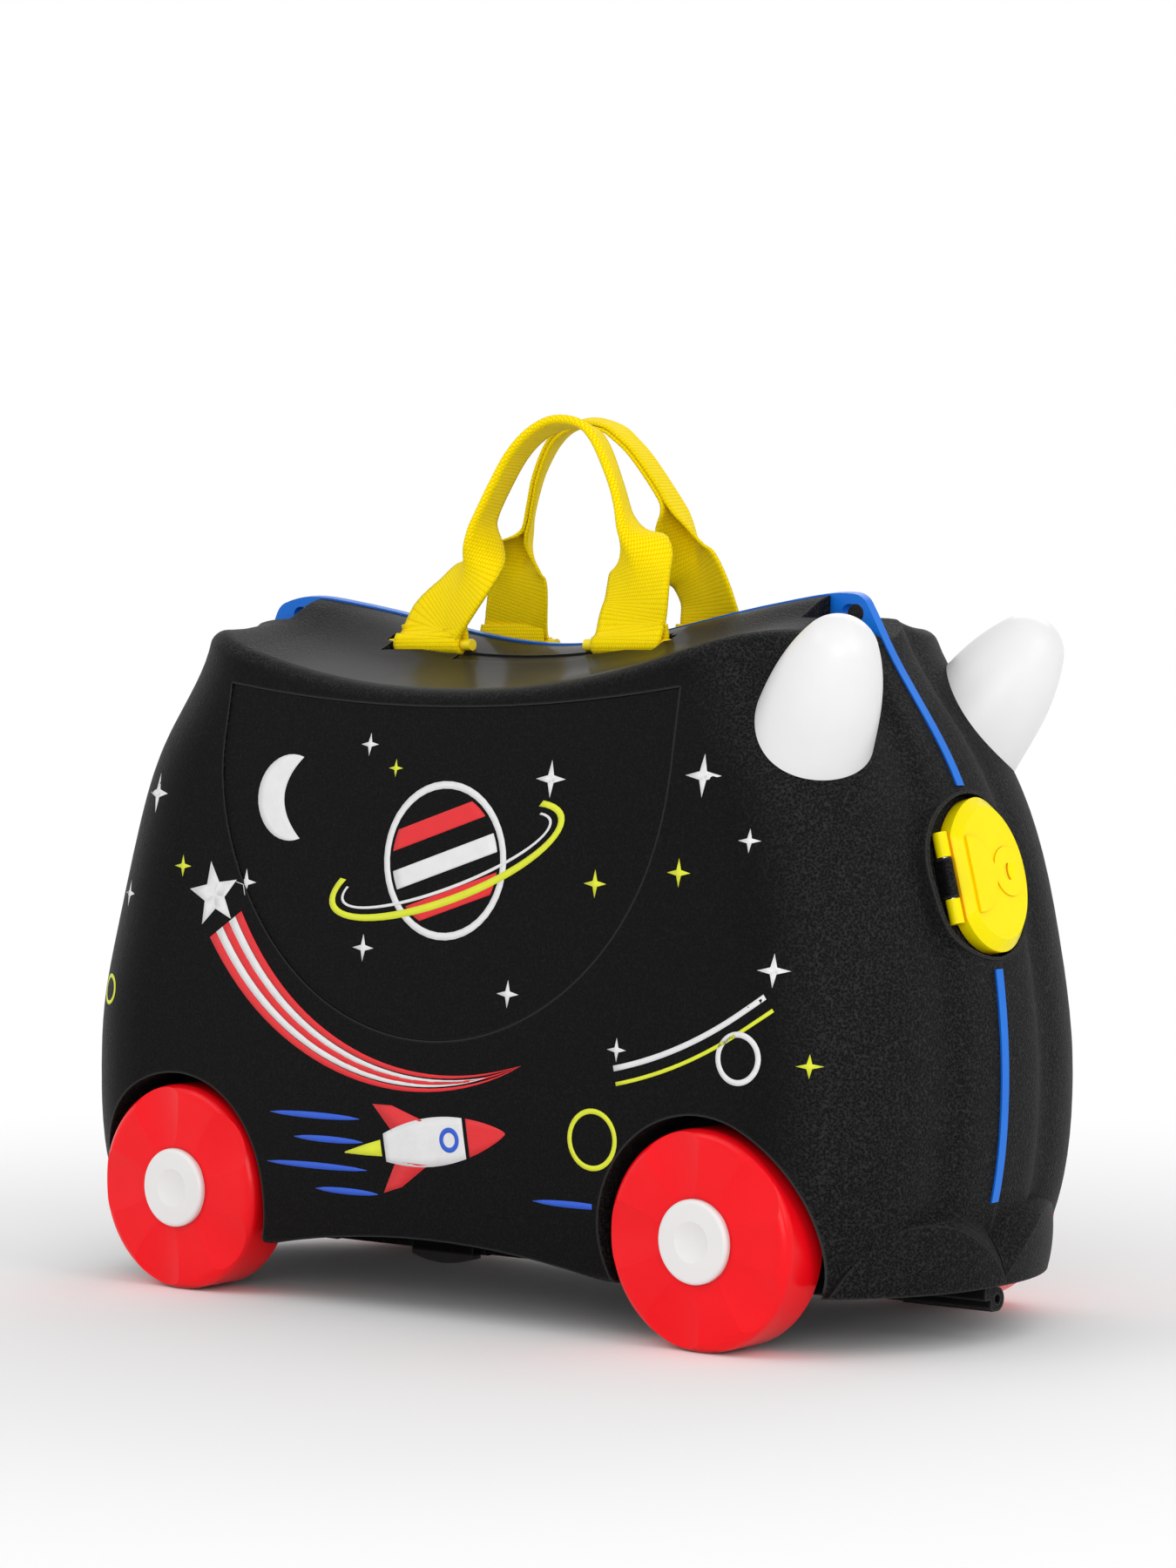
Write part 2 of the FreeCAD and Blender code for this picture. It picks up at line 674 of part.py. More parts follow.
def right_shell():
    middle_half = catch_lug_centre - catch_lug_length / 2 - catch_lug_gap
    left, right = -catch_pin_offset - catch_lug_radius, catch_lug_radius - catch_pin_offset
    stand = box(left, right, -middle_half, middle_half, catch_floor - 1, catch_pin_height)
    eye = catch_axis_rod(catch_lug_radius, middle_half)
    skid_seat = box(
        skid_x - skid_half_length, skid_x + skid_half_length, -skid_outer, -skid_inner,
        skid_seat_height, base_height + arch_rise)
    extras = [at_end(piece, sign) for piece in (stand, eye) for sign in (1, -1)]
    shell = half_shell(solid).fuse(knuckles(1, -hinge_web_width, 0) + extras + [skid_seat])
    pin_bore = catch_axis_rod(catch_pin_radius + axle_seat_clearance, middle_half + 1)
    cuts = trim_groove() + [at_end(pin_bore, 1), at_end(pin_bore, -1), hinge_bore(axle_seat_clearance)]
    return solid(shell.cut(cuts))


def left_shell():
    shell = flip_y(half_shell(flip_y)).cut(box(-far, far, -far, seam_gap, 0, far))
    shell = shell.fuse(knuckles(0, seam_gap, hinge_web_width))
    slots = [at_end(hook(catch_hook_gap), sign) for sign in (1, -1)]
    return solid(shell.cut(slots + [hinge_bore(hinge_pin_clearance)]))


def hinge_pin():
    length = hinge_half_length - knuckle_gap - hinge_pin_recess
    return rod(Vector(knuckle_gap, 0, hinge_height), along_x, hinge_pin_radius, length)


def skid_foot():
    x0, x1 = skid_x - skid_half_length, skid_x + skid_half_length
    high, edge, low = skid_seat_height, skid_seat_height - skid_drop / 3, skid_seat_height - skid_drop
    sole = Part.Arc(Vector(x1, 0, edge), Vector(skid_x, 0, low), Vector(x0, 0, edge)).toShape()
    corners = ((x0, edge), (x0, high), (x1, high), (x1, edge))
    rest = Part.makePolygon([Vector(x, 0, z) for x, z in corners])
    foot = Part.Face(Part.Wire([sole] + rest.Edges)).extrude(along_y * (skid_inner - skid_outer))
    foot.translate(along_y * -skid_inner)
    return foot


# Solid of revolution about the wheel's axis from (radius, distance from the seam) edges.
def turned(edges):
    return Part.Face(Part.Wire(edges)).revolve(Vector(0, 0, 0), along_y, 360)


def profile(points):
    return Part.makePolygon([Vector(r, -y, 0) for r, y in points]).Edges


def bend(a, b, c):
    return Part.Arc(*[Vector(r, -y, 0) for r, y in (a, b, c)]).toShape()


def wheel():
    bore = axle_radius + axle_clearance
    back = wheel_face - wheel_face_wall
    rim = wheel_radius - wheel_rim_wall
    dip = wheel_round * (1 - math.sqrt(0.5))
    start = (wheel_radius, wheel_face - wheel_round)
    stop = (wheel_radius - wheel_round, wheel_face)
    cap_room = cap_radius + cap_fit
    before = profile([
        (bore, wheel_inner), (wheel_hub_radius, wheel_inner), (wheel_hub_radius, back), (rim, back),
        (rim, wheel_inner), (wheel_radius - 1, wheel_inner), (wheel_radius, wheel_inner + 1), start])
    round_edge = bend(start, (wheel_radius - dip, wheel_face - dip), stop)
    after = profile([
        stop, (cap_room, wheel_face), (cap_room, cap_seat), (hub_pocket_radius, cap_seat),
        (hub_pocket_radius, pocket_floor), (bore, pocket_floor), (bore, wheel_inner)])
    body = turned(before + [round_edge] + after)
    ribs = []
    flutes = []
    for index in range(wheel_rib_count):
        angle = 360.0 * index / wheel_rib_count
        half = wheel_rib_width / 2
        rib = box(wheel_hub_radius - 1, rim + 1, -back - 1, -wheel_inner - wheel_rim_wall, -half, half)
        ribs.append(rib.rotate(Vector(0, 0, 0), along_y, angle))
    for index in range(flute_count):
        run = wheel_radius - cap_radius
        root = Vector(cap_radius, -wheel_face - flute_radius, 0)
        flute = rod(root, Vector(run, flute_depth, 0), flute_radius, 2 * run)
        flutes.append(flute.rotate(Vector(0, 0, 0), along_y, 360.0 * (index + 0.5) / flute_count))
    return solid(fuse(body, ribs).cut(flutes))


def hub_cap():
    skirt = hub_pocket_radius - cap_fit
    inside = skirt - cap_skirt_wall
    end = cap_seat - cap_skirt_depth
    soft = cap_thickness / 2
    dip = soft * (1 - math.sqrt(0.5))
    floor = cap_face - cap_dimple_depth
    ball = (cap_dimple_radius ** 2 + cap_dimple_depth ** 2) / (2 * cap_dimple_depth)
    half_dip = math.sqrt(ball ** 2 - cap_dimple_radius ** 2 / 4)
    middle = (cap_dimple_radius / 2, floor + ball - half_dip)
    edges = profile([
        (0, floor), (0, cap_seat), (inside, cap_seat), (inside, end), (skirt, end), (skirt, cap_seat),
        (cap_radius, cap_seat), (cap_radius, cap_face - soft)])
    rim_start, rim_end = (cap_radius, cap_face - soft), (cap_radius - soft, cap_face)
    edges.append(bend(rim_start, (cap_radius - dip, cap_face - dip), rim_end))
    edges += profile([rim_end, (cap_dimple_radius, cap_face)])
    edges.append(bend((cap_dimple_radius, cap_face), middle, (0, floor)))
    return turned(edges)


clip_start = pocket_floor + clip_gap
axle_end = clip_start + clip_width + axle_end_reach


def axle():
    inner_end = collar_seat - boss_length
    shank = rod(Vector(0, -axle_end, 0), along_y, axle_radius, axle_end - inner_end)
    collar_start = Vector(0, -collar_seat - axle_collar_width, 0)
    collar = rod(collar_start, along_y, axle_collar_radius, axle_collar_width)
    return fuse(shank, [collar])


def axle_clip():
    start = Vector(0, -clip_start - clip_width, 0)
    disc = rod(start, along_y, clip_radius, clip_width)
    return disc.cut(rod(start, along_y, axle_radius + axle_seat_clearance, clip_width))


# Bullet of a horn on its own axis, drawn in by an inset.
def horn_bullet(inset):
    def spot(radius, height):
        return Vector(radius, 0, height)

    slope = math.radians(horn_tip_slope)
    middle = math.radians((90 + horn_tip_slope) / 2)
    tip = horn_tip_radius - inset
    centre = horn_length - horn_tip_radius
    join = spot(tip * math.cos(slope), centre + tip * math.sin(slope))
    side = Part.BSplineCurve()
    side.interpolate(Points=[
        spot(horn_root_radius - inset, -horn_root), spot(horn_radius - inset, 0),
        spot(horn_flank_radius - inset, horn_flank_height),
        spot(horn_waist - inset, horn_waist_height), join])
    crown = Part.Arc(
        join, spot(tip * math.cos(middle), centre + tip * math.sin(middle)), spot(0, centre + tip)).toShape()
    foot = spot(0, -horn_root)
    edges = [side.toShape(), crown, line(spot(0, centre + tip), foot), line(foot, side.StartPoint)]
    bullet = Part.Face(Part.Wire(edges)).revolve(Vector(0, 0, 0), along_z, 360)
    bullet.Placement = FreeCAD.Placement(horn_base, FreeCAD.Rotation(along_z, horn_axis))
    return bullet


# Hollow horn that sits on the shell, with a solid core that runs on as its spigot.
def horn():
    depth = horn_boss_depth + horn_ring_width + horn_spigot_end
    rise = math.sqrt((horn_tip_radius - horn_wall / 2) ** 2 - horn_spigot_radius ** 2)
    core = horn_rod(horn_spigot_radius, -depth, depth + horn_length - horn_tip_radius + rise)
    skin = horn_bullet(0.0).cut(horn_bullet(horn_wall)).cut(outer)
    seated = max(skin.Solids, key=lambda piece: piece.CenterOfMass.dot(horn_axis))
    return fuse(seated, [core])


def horn_ring():
    start = -horn_boss_depth - horn_ring_width
    disc = horn_rod(horn_ring_radius, start, horn_ring_width)
    return disc.cut(horn_rod(horn_spigot_radius + axle_seat_clearance, start, horn_ring_width))


def handle_bars():
    start = Vector(handle_bar_x - handle_bar_length / 2, -handle_bar_y, bar_height)
    front = rod(start, along_x, handle_bar_radius, handle_bar_length)
    return Part.makeCompound([front, flip_x(front)])


def handle_strap():
    points = []
    for x, lean, rise, fold, twist in strap_route:
        points.append(Vector(x, -handle_bar_y * (1 - lean), bar_height + rise))
    wires = []
    for index, (x, lean, rise, fold, twist) in enumerate(strap_route):
        before = points[max(index - 1, 0)]
        after = points[min(index + 1, len(points) - 1)]
        way = (after - before).normalize()
        side = (along_y - way * along_y.dot(way)).normalize()
        flat = way.cross(side)
        turn = math.radians(twist)
        half_width = (strap_width + (strap_grip_width - strap_width) * fold) / 2
        wide = (flat * math.cos(turn) + side * math.sin(turn)) * half_width
        thick = (side * math.cos(turn) - flat * math.sin(turn)) * strap_ply * (1 + fold)
        corners = ((1, 1), (-1, 1), (-1, -1), (1, -1), (1, 1))
        wires.append(Part.makePolygon([points[index] + wide * a + thick * b for a, b in corners]))
    band = Part.makeLoft(wires, True, False)
    start = Vector(handle_bar_x - strap_width / 2, -handle_bar_y, bar_height)
    sleeve = rod(start, along_x, sleeve_radius, strap_width)
    bore = rod(start - along_x * far, along_x, handle_bar_radius + handle_bar_clearance, 2 * far)
    return solid(fuse(band, [sleeve, flip_x(sleeve)]).cut(bore))


trims = seam_trims()
catch = catch_local()
lock = lock_local()
catch_pin = catch_axis_rod(catch_pin_radius, pin_half)
nodes = {
    "right_shell": right_shell(), "left_shell": left_shell(), "skid_foot": skid_foot(),
    "seam_trim_top": trims[0], "seam_trim_front": trims[1], "seam_trim_rear": trims[2],
    "front_hinge_pin": hinge_pin(), "rear_hinge_pin": flip_x(hinge_pin()),
    "right_horn": horn(), "left_horn": flip_y(horn()),
    "right_horn_ring": horn_ring(), "left_horn_ring": flip_y(horn_ring()),
    "right_handle_bars": handle_bars(), "left_handle_bars": flip_y(handle_bars()),
    "right_handle_strap": handle_strap(), "left_handle_strap": flip_y(handle_strap())}
for end, sign in (("front", 1), ("rear", -1)):
    nodes[end + "_catch"] = at_end(catch, sign)
    nodes[end + "_lock_barrel"] = at_end(lock, sign)
    nodes[end + "_catch_pin"] = at_end(catch_pin, sign)
    for name, make in (("wheel", wheel), ("hub_cap", hub_cap), ("axle", axle), ("axle_clip", axle_clip)):
        piece = make()
        piece.translate(Vector(sign * axle_x, 0, wheel_radius))
        nodes[end + "_right_" + name] = piece
        nodes[end + "_left_" + name] = flip_y(piece)

os.makedirs("parts", exist_ok=True)
for name, shape in nodes.items():
    shape.exportStep("parts/" + name + ".step")
    print(name, shape.isValid(), len(shape.Solids), round(shape.Volume))
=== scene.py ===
import json
import math

import bmesh
import bpy
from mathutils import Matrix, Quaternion, Vector
from mathutils.bvhtree import BVHTree


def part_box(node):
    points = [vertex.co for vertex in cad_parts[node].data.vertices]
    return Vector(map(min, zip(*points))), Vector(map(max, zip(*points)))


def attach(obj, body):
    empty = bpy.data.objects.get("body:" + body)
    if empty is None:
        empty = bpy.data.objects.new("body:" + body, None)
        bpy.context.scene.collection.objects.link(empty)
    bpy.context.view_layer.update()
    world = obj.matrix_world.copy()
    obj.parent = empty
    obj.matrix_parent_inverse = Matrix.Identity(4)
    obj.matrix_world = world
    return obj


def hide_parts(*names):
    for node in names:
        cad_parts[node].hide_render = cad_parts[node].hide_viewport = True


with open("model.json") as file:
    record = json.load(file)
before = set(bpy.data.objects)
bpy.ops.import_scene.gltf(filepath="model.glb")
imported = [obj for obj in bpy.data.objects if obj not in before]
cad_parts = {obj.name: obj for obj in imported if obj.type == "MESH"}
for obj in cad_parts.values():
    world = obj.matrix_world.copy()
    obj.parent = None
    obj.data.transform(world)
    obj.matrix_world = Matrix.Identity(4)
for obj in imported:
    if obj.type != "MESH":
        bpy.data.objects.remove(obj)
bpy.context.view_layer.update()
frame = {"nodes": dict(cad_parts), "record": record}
nodes = frame["nodes"]
mm = 0.001
print("frame loaded:", len(nodes), "nodes")


# Camera, solved from the wheels, the seam and the length of the case
cameraSet = {
    "place": (1.2330, -1.5543, 0.2937),
    "turn": (88.08, 0.0, 38.21),
    "lens": 102.49,
    "film": 36.0,
    "farClip": 50.0,
}


def addCamera():
    data = bpy.data.cameras.new("studioCamera")
    data.sensor_fit = "VERTICAL"
    data.sensor_height = cameraSet["film"]
    data.lens = cameraSet["lens"]
    data.clip_end = cameraSet["farClip"]
    rig = bpy.data.objects.new("studioCamera", data)
    rig.location = cameraSet["place"]
    rig.rotation_euler = [math.radians(a) for a in cameraSet["turn"]]
    bpy.context.scene.collection.objects.link(rig)
    bpy.context.scene.camera = rig


addCamera()
print("camera placed")


# Small helpers for node trees
def addNode(tree, kind, **values):
    node = tree.nodes.new(kind)
    for key, value in values.items():
        setattr(node, key, value)
    return node


def mathNode(tree, operation, first, second=None):
    node = addNode(tree, "ShaderNodeMath", operation=operation)
    for socket, value in zip(node.inputs, (first, second)):
        if value is None:
            continue
        if isinstance(value, (int, float)):
            socket.default_value = value
        else:
            tree.links.new(value, socket)
    return node.outputs[0]


def rampNode(tree, value, stops):
    node = addNode(tree, "ShaderNodeValToRGB")
    tree.links.new(value, node.inputs[0])
    ramp = node.color_ramp
    while len(ramp.elements) < len(stops):
        ramp.elements.new(0.5)
    for element, (place, tone) in zip(ramp.elements, stops):
        element.position = place
        element.color = (tone, tone, tone, 1) if isinstance(tone, (int, float)) else tuple(tone) + (1,)
    return node.outputs[0]


def mixColour(tree, share, first, second):
    node = addNode(tree, "ShaderNodeMix", data_type="RGBA")
    for name, value in (("Factor", share), ("A", first), ("B", second)):
        socket = [s for s in node.inputs if s.name == name and s.enabled][0]
        if isinstance(value, (int, float)):
            socket.default_value = value
        elif isinstance(value, (tuple, list)):
            socket.default_value = tuple(value) + (1,)
        else:
            tree.links.new(value, socket)
    return [s for s in node.outputs if s.enabled][0]


def newGroup(name, inputs, outputs):
    group = bpy.data.node_groups.new(name, "ShaderNodeTree")
    for label, value in inputs:
        socket = group.interface.new_socket(label, in_out="INPUT", socket_type="NodeSocketFloat")
        socket.default_value = value
    for label, kind in outputs:
        group.interface.new_socket(label, in_out="OUTPUT", socket_type=kind)
    return group, addNode(group, "NodeGroupInput").outputs, addNode(group, "NodeGroupOutput").inputs


# Leather-like moulded grain: pebbles with fine pores, and a slow mottle for tone and roughness
grainSet = {
    "pebbleScale": 1100.0, "poreScale": 2600.0, "poreShare": 0.45, "mottleScale": 18.0, "mottleDetail": 4,
}


def makeGrainGroup():
    group, given, out = newGroup(
        "mouldGrain",
        [("PebbleScale", grainSet["pebbleScale"]), ("PoreScale", grainSet["poreScale"]),
         ("MottleScale", grainSet["mottleScale"])],
        [("Height", "NodeSocketFloat"), ("Mottle", "NodeSocketFloat")])
    place = addNode(group, "ShaderNodeTexCoord").outputs["Object"]
    pebble = addNode(group, "ShaderNodeTexVoronoi", feature="SMOOTH_F1")
    pores = addNode(group, "ShaderNodeTexNoise")
    mottle = addNode(group, "ShaderNodeTexNoise")
    mottle.inputs["Detail"].default_value = grainSet["mottleDetail"]
    for node, scale in ((pebble, "PebbleScale"), (pores, "PoreScale"), (mottle, "MottleScale")):
        group.links.new(place, node.inputs["Vector"])
        group.links.new(given[scale], node.inputs["Scale"])
    rough = mathNode(group, "MULTIPLY", pores.outputs["Fac"], grainSet["poreShare"])
    group.links.new(mathNode(group, "ADD", pebble.outputs["Distance"], rough), out["Height"])
    group.links.new(mottle.outputs["Fac"], out["Mottle"])
    return group


# Gentle waviness of glossy mouldings with slight handling smudges
glossSet = {
    "waveScale": 60.0, "smudgeScale": 35.0, "smudgeDetail": 6, "smudgeSpan": [(0.35, 0.0), (0.75, 1.0)],
    "bump": 0.15, "bumpDepth": 0.0004, "specular": 0.5,
}


def makeGlossGroup():
    group, given, out = newGroup(
        "glossMoulding", [("WaveScale", glossSet["waveScale"]), ("SmudgeScale", glossSet["smudgeScale"])],
        [("Height", "NodeSocketFloat"), ("Smudge", "NodeSocketFloat")])
    place = addNode(group, "ShaderNodeTexCoord").outputs["Object"]
    wave = addNode(group, "ShaderNodeTexNoise")
    smudge = addNode(group, "ShaderNodeTexNoise")
    smudge.inputs["Detail"].default_value = glossSet["smudgeDetail"]
    for node, scale in ((wave, "WaveScale"), (smudge, "SmudgeScale")):
        group.links.new(place, node.inputs["Vector"])
        group.links.new(given[scale], node.inputs["Scale"])
    group.links.new(wave.outputs["Fac"], out["Height"])
    group.links.new(rampNode(group, smudge.outputs["Fac"], glossSet["smudgeSpan"]), out["Smudge"])
    return group


# Webbing weave from the strap's own unrolled surface, in millimetres
weaveSet = {
    "pickLength": 1.6, "endWidth": 1.3, "rowShift": 0.5, "slant": 0.3,
    "acrossPower": 0.6, "alongPower": 0.5, "fuzzScale": 3.0, "fuzzShare": 0.25,
    "dipSpan": [(0.10, 0.0), (0.65, 1.0)],
}


def waveRidge(tree, value, power):
    wave = mathNode(tree, "SINE", mathNode(tree, "MULTIPLY", value, math.pi))
    return mathNode(tree, "POWER", mathNode(tree, "ABSOLUTE", wave), power)


def makeWeaveGroup():
    group, given, out = newGroup(
        "webbingWeave", [("PickLength", weaveSet["pickLength"]), ("EndWidth", weaveSet["endWidth"])],
        [("Height", "NodeSocketFloat"), ("Shade", "NodeSocketFloat")])
    flat = addNode(group, "ShaderNodeTexCoord").outputs["UV"]
    unrolled = addNode(group, "ShaderNodeSeparateXYZ")
    group.links.new(flat, unrolled.inputs[0])
    across = mathNode(group, "DIVIDE", unrolled.outputs["X"], given["EndWidth"])
    along = mathNode(group, "DIVIDE", unrolled.outputs["Y"], given["PickLength"])
    step = mathNode(group, "MULTIPLY", mathNode(group, "FLOOR", along), weaveSet["rowShift"])
    lean = mathNode(group, "MULTIPLY", mathNode(group, "FRACT", along), weaveSet["slant"])
    slant = mathNode(group, "ADD", mathNode(group, "ADD", across, step), lean)
    ridgeAcross = waveRidge(group, slant, weaveSet["acrossPower"])
    ridgeAlong = waveRidge(group, along, weaveSet["alongPower"])
    height = mathNode(group, "MULTIPLY", ridgeAcross, ridgeAlong)
    fuzz = addNode(group, "ShaderNodeTexNoise")
    fuzz.inputs["Scale"].default_value = weaveSet["fuzzScale"]
    group.links.new(flat, fuzz.inputs["Vector"])
    nap = mathNode(group, "MULTIPLY", fuzz.outputs["Fac"], weaveSet["fuzzShare"])
    group.links.new(mathNode(group, "ADD", height, nap), out["Height"])
    # Shade is 0 in the weave's dips, where the webbing gets painted shade, and 1 on its ridges
    group.links.new(rampNode(group, height, weaveSet["dipSpan"]), out["Shade"])
    return group


# Painted highlight on outer edges and painted shade in inner corners, from bevel and ambient-occlusion
# masks
edgeSet = {
    "edgeReach": 0.0012, "edgeSamples": 6, "turnSpan": [(0.90, 1.0), (0.992, 0.0)],
    "creaseReach": 0.003, "creaseSamples": 8, "openSpan": [(0.75, 0.0), (0.95, 1.0)],
    "creaseSpan": [(0.40, 1.0), (0.92, 0.0)],
}


def makeEdgeGroup():
    group, given, out = newGroup(
        "edgeHighlightAndCreaseShade", [("EdgeReach", edgeSet["edgeReach"]), ("CreaseReach", edgeSet["creaseReach"])],
        [("EdgeHighlight", "NodeSocketFloat"), ("CreaseShade", "NodeSocketFloat")])
    rounded = addNode(group, "ShaderNodeBevel", samples=edgeSet["edgeSamples"])
    group.links.new(given["EdgeReach"], rounded.inputs["Radius"])
    agree = addNode(group, "ShaderNodeVectorMath", operation="DOT_PRODUCT")
    group.links.new(rounded.outputs[0], agree.inputs[0])
    group.links.new(addNode(group, "ShaderNodeNewGeometry").outputs["Normal"], agree.inputs[1])
    nook = addNode(group, "ShaderNodeAmbientOcclusion", samples=edgeSet["creaseSamples"])
    group.links.new(given["CreaseReach"], nook.inputs["Distance"])
    turned = rampNode(group, agree.outputs["Value"], edgeSet["turnSpan"])
    exposed = rampNode(group, nook.outputs["AO"], edgeSet["openSpan"])
    # mask of convex edges that get a painted highlight
    group.links.new(mathNode(group, "MULTIPLY", turned, exposed), out["EdgeHighlight"])
    # mask of creases and recesses that get painted shade
    group.links.new(rampNode(group, nook.outputs["AO"], edgeSet["creaseSpan"]), out["CreaseShade"])
    return group


grainGroup = makeGrainGroup()
edgeGroup = makeEdgeGroup()
glossGroup = makeGlossGroup()
weaveGroup = makeWeaveGroup()


def startMaterial(name):
    material = bpy.data.materials.new(name)
    material.use_nodes = True
    tree = material.node_tree
    return material, tree, tree.nodes["Principled BSDF"]


def placeGroup(tree, group, **values):
    node = addNode(tree, "ShaderNodeGroup", node_tree=group)
    for key, value in values.items():
        node.inputs[key].default_value = value
    return node.outputs


def bumpInto(tree, shader, height, strength, distance):
    bump = addNode(tree, "ShaderNodeBump")
    bump.inputs["Strength"].default_value = strength
    bump.inputs["Distance"].default_value = distance
    tree.links.new(height, bump.inputs["Height"])
    tree.links.new(bump.outputs["Normal"], shader.inputs["Normal"])


def linkRange(tree, value, low, high, socket):
    spread = addNode(tree, "ShaderNodeMapRange")
    spread.inputs["To Min"].default_value = low
    spread.inputs["To Max"].default_value = high
    tree.links.new(value, spread.inputs["Value"])
    tree.links.new(spread.outputs[0], socket)


# Black shell: grained on the ends and shoulders, flatter on the printed sides, smooth on the saddle
shellSet = {
    "colour": (0.0016, 0.0016, 0.0018),
    "paleColour": (0.0030, 0.0030, 0.0031),
    # painted highlight: paler pebble tops stand in for glints on the grain
    "grainGlintColour": (0.022, 0.022, 0.022),
    # painted highlight: paler colour laid on the shell's outer edges, rims and ridges
    "edgeHighlightColour": (0.034, 0.034, 0.034),
    "edgeHighlightReach": 0.0020,
    "grainGlintSpan": [(0.50, 0.0), (0.95, 1.0)],
    "grainRough": 0.46,
    "sideRough": 0.50,
    "roughSpread": 0.12,
    "sideSpan": (0.80, 0.97),
    "sideRoughSpan": [(0.86, 0.0), (0.975, 1.0)],
    "upSpan": [(0.55, 0.0), (0.92, 1.0)],
    "specular": 0.07,
    "grainDepth": 0.00040,
    "sideShare": 0.22,
    "saddleShare": 0.12,
    "saddleReach": (0.085, 0.125),
    "topCoat": 0.2,
    "coatRough": 0.16,
}


def makeShellMaterial():
    material, tree, shader = startMaterial("shellBlack")
    grain = placeGroup(tree, grainGroup)
    shader.inputs["Specular IOR Level"].default_value = shellSet["specular"]
    where = addNode(tree, "ShaderNodeTexCoord").outputs
    facing = addNode(tree, "ShaderNodeSeparateXYZ")
    tree.links.new(where["Normal"], facing.inputs[0])
    spot = addNode(tree, "ShaderNodeSeparateXYZ")
    tree.links.new(where["Object"], spot.inputs[0])
    sideways = mathNode(tree, "ABSOLUTE", facing.outputs["Y"])
    start, stop = shellSet["saddleReach"]
    middle = rampNode(tree, mathNode(tree, "ABSOLUTE", spot.outputs["X"]), [(start, 1.0), (stop, 0.0)])
    upward = rampNode(tree, facing.outputs["Z"], shellSet["upSpan"])
    saddle = mathNode(tree, "MULTIPLY", middle, upward)
    turning, flat = shellSet["sideSpan"]
    offSide = rampNode(tree, sideways, [(turning, 1.0), (flat, shellSet["sideShare"])])
    offSaddle = rampNode(tree, saddle, [(0.0, 1.0), (1.0, shellSet["saddleShare"])])
    depth = mathNode(tree, "MULTIPLY", offSide, offSaddle)
    tone = mixColour(tree, grain["Mottle"], shellSet["colour"], shellSet["paleColour"])
    # painted glints: pebble tops of the grain are painted paler, where the grain would catch the light
    grainGlint = mathNode(tree, "MULTIPLY", rampNode(tree, grain["Height"], shellSet["grainGlintSpan"]), depth)
    grained = mixColour(tree, grainGlint, tone, shellSet["grainGlintColour"])
    # painted highlight: the shell's outer edges, rims and ridges get a paler colour where they would catch
    # the light
    wearAndPaintedLight = placeGroup(tree, edgeGroup, EdgeReach=shellSet["edgeHighlightReach"])
    edgeHighlighted = mixColour(tree, wearAndPaintedLight["EdgeHighlight"], grained, shellSet["edgeHighlightColour"])
    tree.links.new(edgeHighlighted, shader.inputs["Base Color"])
    sideMask = rampNode(tree, sideways, shellSet["sideRoughSpan"])
    lowRough = rampNode(tree, sideMask, [(0.0, shellSet["grainRough"]), (1.0, shellSet["sideRough"])])
    mottled = mathNode(tree, "MULTIPLY", grain["Mottle"], shellSet["roughSpread"])
    tree.links.new(mathNode(tree, "ADD", lowRough, mottled), shader.inputs["Roughness"])
    tree.links.new(mathNode(tree, "MULTIPLY", saddle, shellSet["topCoat"]), shader.inputs["Coat Weight"])
    shader.inputs["Coat Roughness"].default_value = shellSet["coatRough"]
    bumpInto(tree, shader, mathNode(tree, "MULTIPLY", grain["Height"], depth), 1.0, shellSet["grainDepth"])
    return material


def makeGlossMaterial(name, look):
    material, tree, shader = startMaterial(name)
    gloss = placeGroup(tree, glossGroup)
    tone = mixColour(tree, gloss["Smudge"], look["colour"], look["shade"])
    # painted shade: creases and recesses get the darker creaseShade colour from the ambient-occlusion mask
    wearAndPaintedLight = placeGroup(tree, edgeGroup)
    tree.links.new(mixColour(tree, wearAndPaintedLight["CreaseShade"], tone, look["creaseShade"]), shader.inputs["Base Color"])
    linkRange(tree, gloss["Smudge"], *look["rough"], shader.inputs["Roughness"])
    shader.inputs["Specular IOR Level"].default_value = look.get("specular", glossSet["specular"])
    bumpInto(tree, shader, gloss["Height"], look.get("bump", glossSet["bump"]), glossSet["bumpDepth"])
    return material


# the creaseShade colours are painted shade for creases and recesses
plasticLooks = {
    "trimBlue": {
        "colour": (0.006, 0.17, 0.72), "shade": (0.005, 0.145, 0.64), "creaseShade": (0.004, 0.10, 0.48),
        "rough": (0.28, 0.38), "specular": 0.2},
    "hornWhite": {
        "colour": (0.80, 0.80, 0.805), "shade": (0.775, 0.775, 0.78), "creaseShade": (0.70, 0.70, 0.71),
        "rough": (0.30, 0.40), "bump": 0.08},
    "wheelRed": {
        "colour": (0.90, 0.004, 0.010), "shade": (0.86, 0.003, 0.008), "creaseShade": (0.62, 0.002, 0.006),
        "rough": (0.16, 0.26), "specular": 0.2},
    "capWhite": {
        "colour": (0.80, 0.80, 0.79), "shade": (0.77, 0.77, 0.76), "creaseShade": (0.66, 0.60, 0.59),
        "rough": (0.28, 0.38)},
    "catchYellow": {
        "colour": (0.95, 0.80, 0.0), "shade": (0.92, 0.77, 0.0), "creaseShade": (0.88, 0.42, 0.0),
        "rough": (0.22, 0.32), "specular": 0.10},
    "barYellow": {
        "colour": (0.93, 0.75, 0.0), "shade": (0.88, 0.69, 0.0), "creaseShade": (0.80, 0.45, 0.0),
        "rough": (0.3, 0.4)},
}
steelSet = {
    "colour": (0.55, 0.55, 0.56), "rough": (0.25, 0.42), "drawScale": 900.0, "smudgeScale": 120.0,
    "bump": 0.2, "bumpDepth": 0.0001,
}
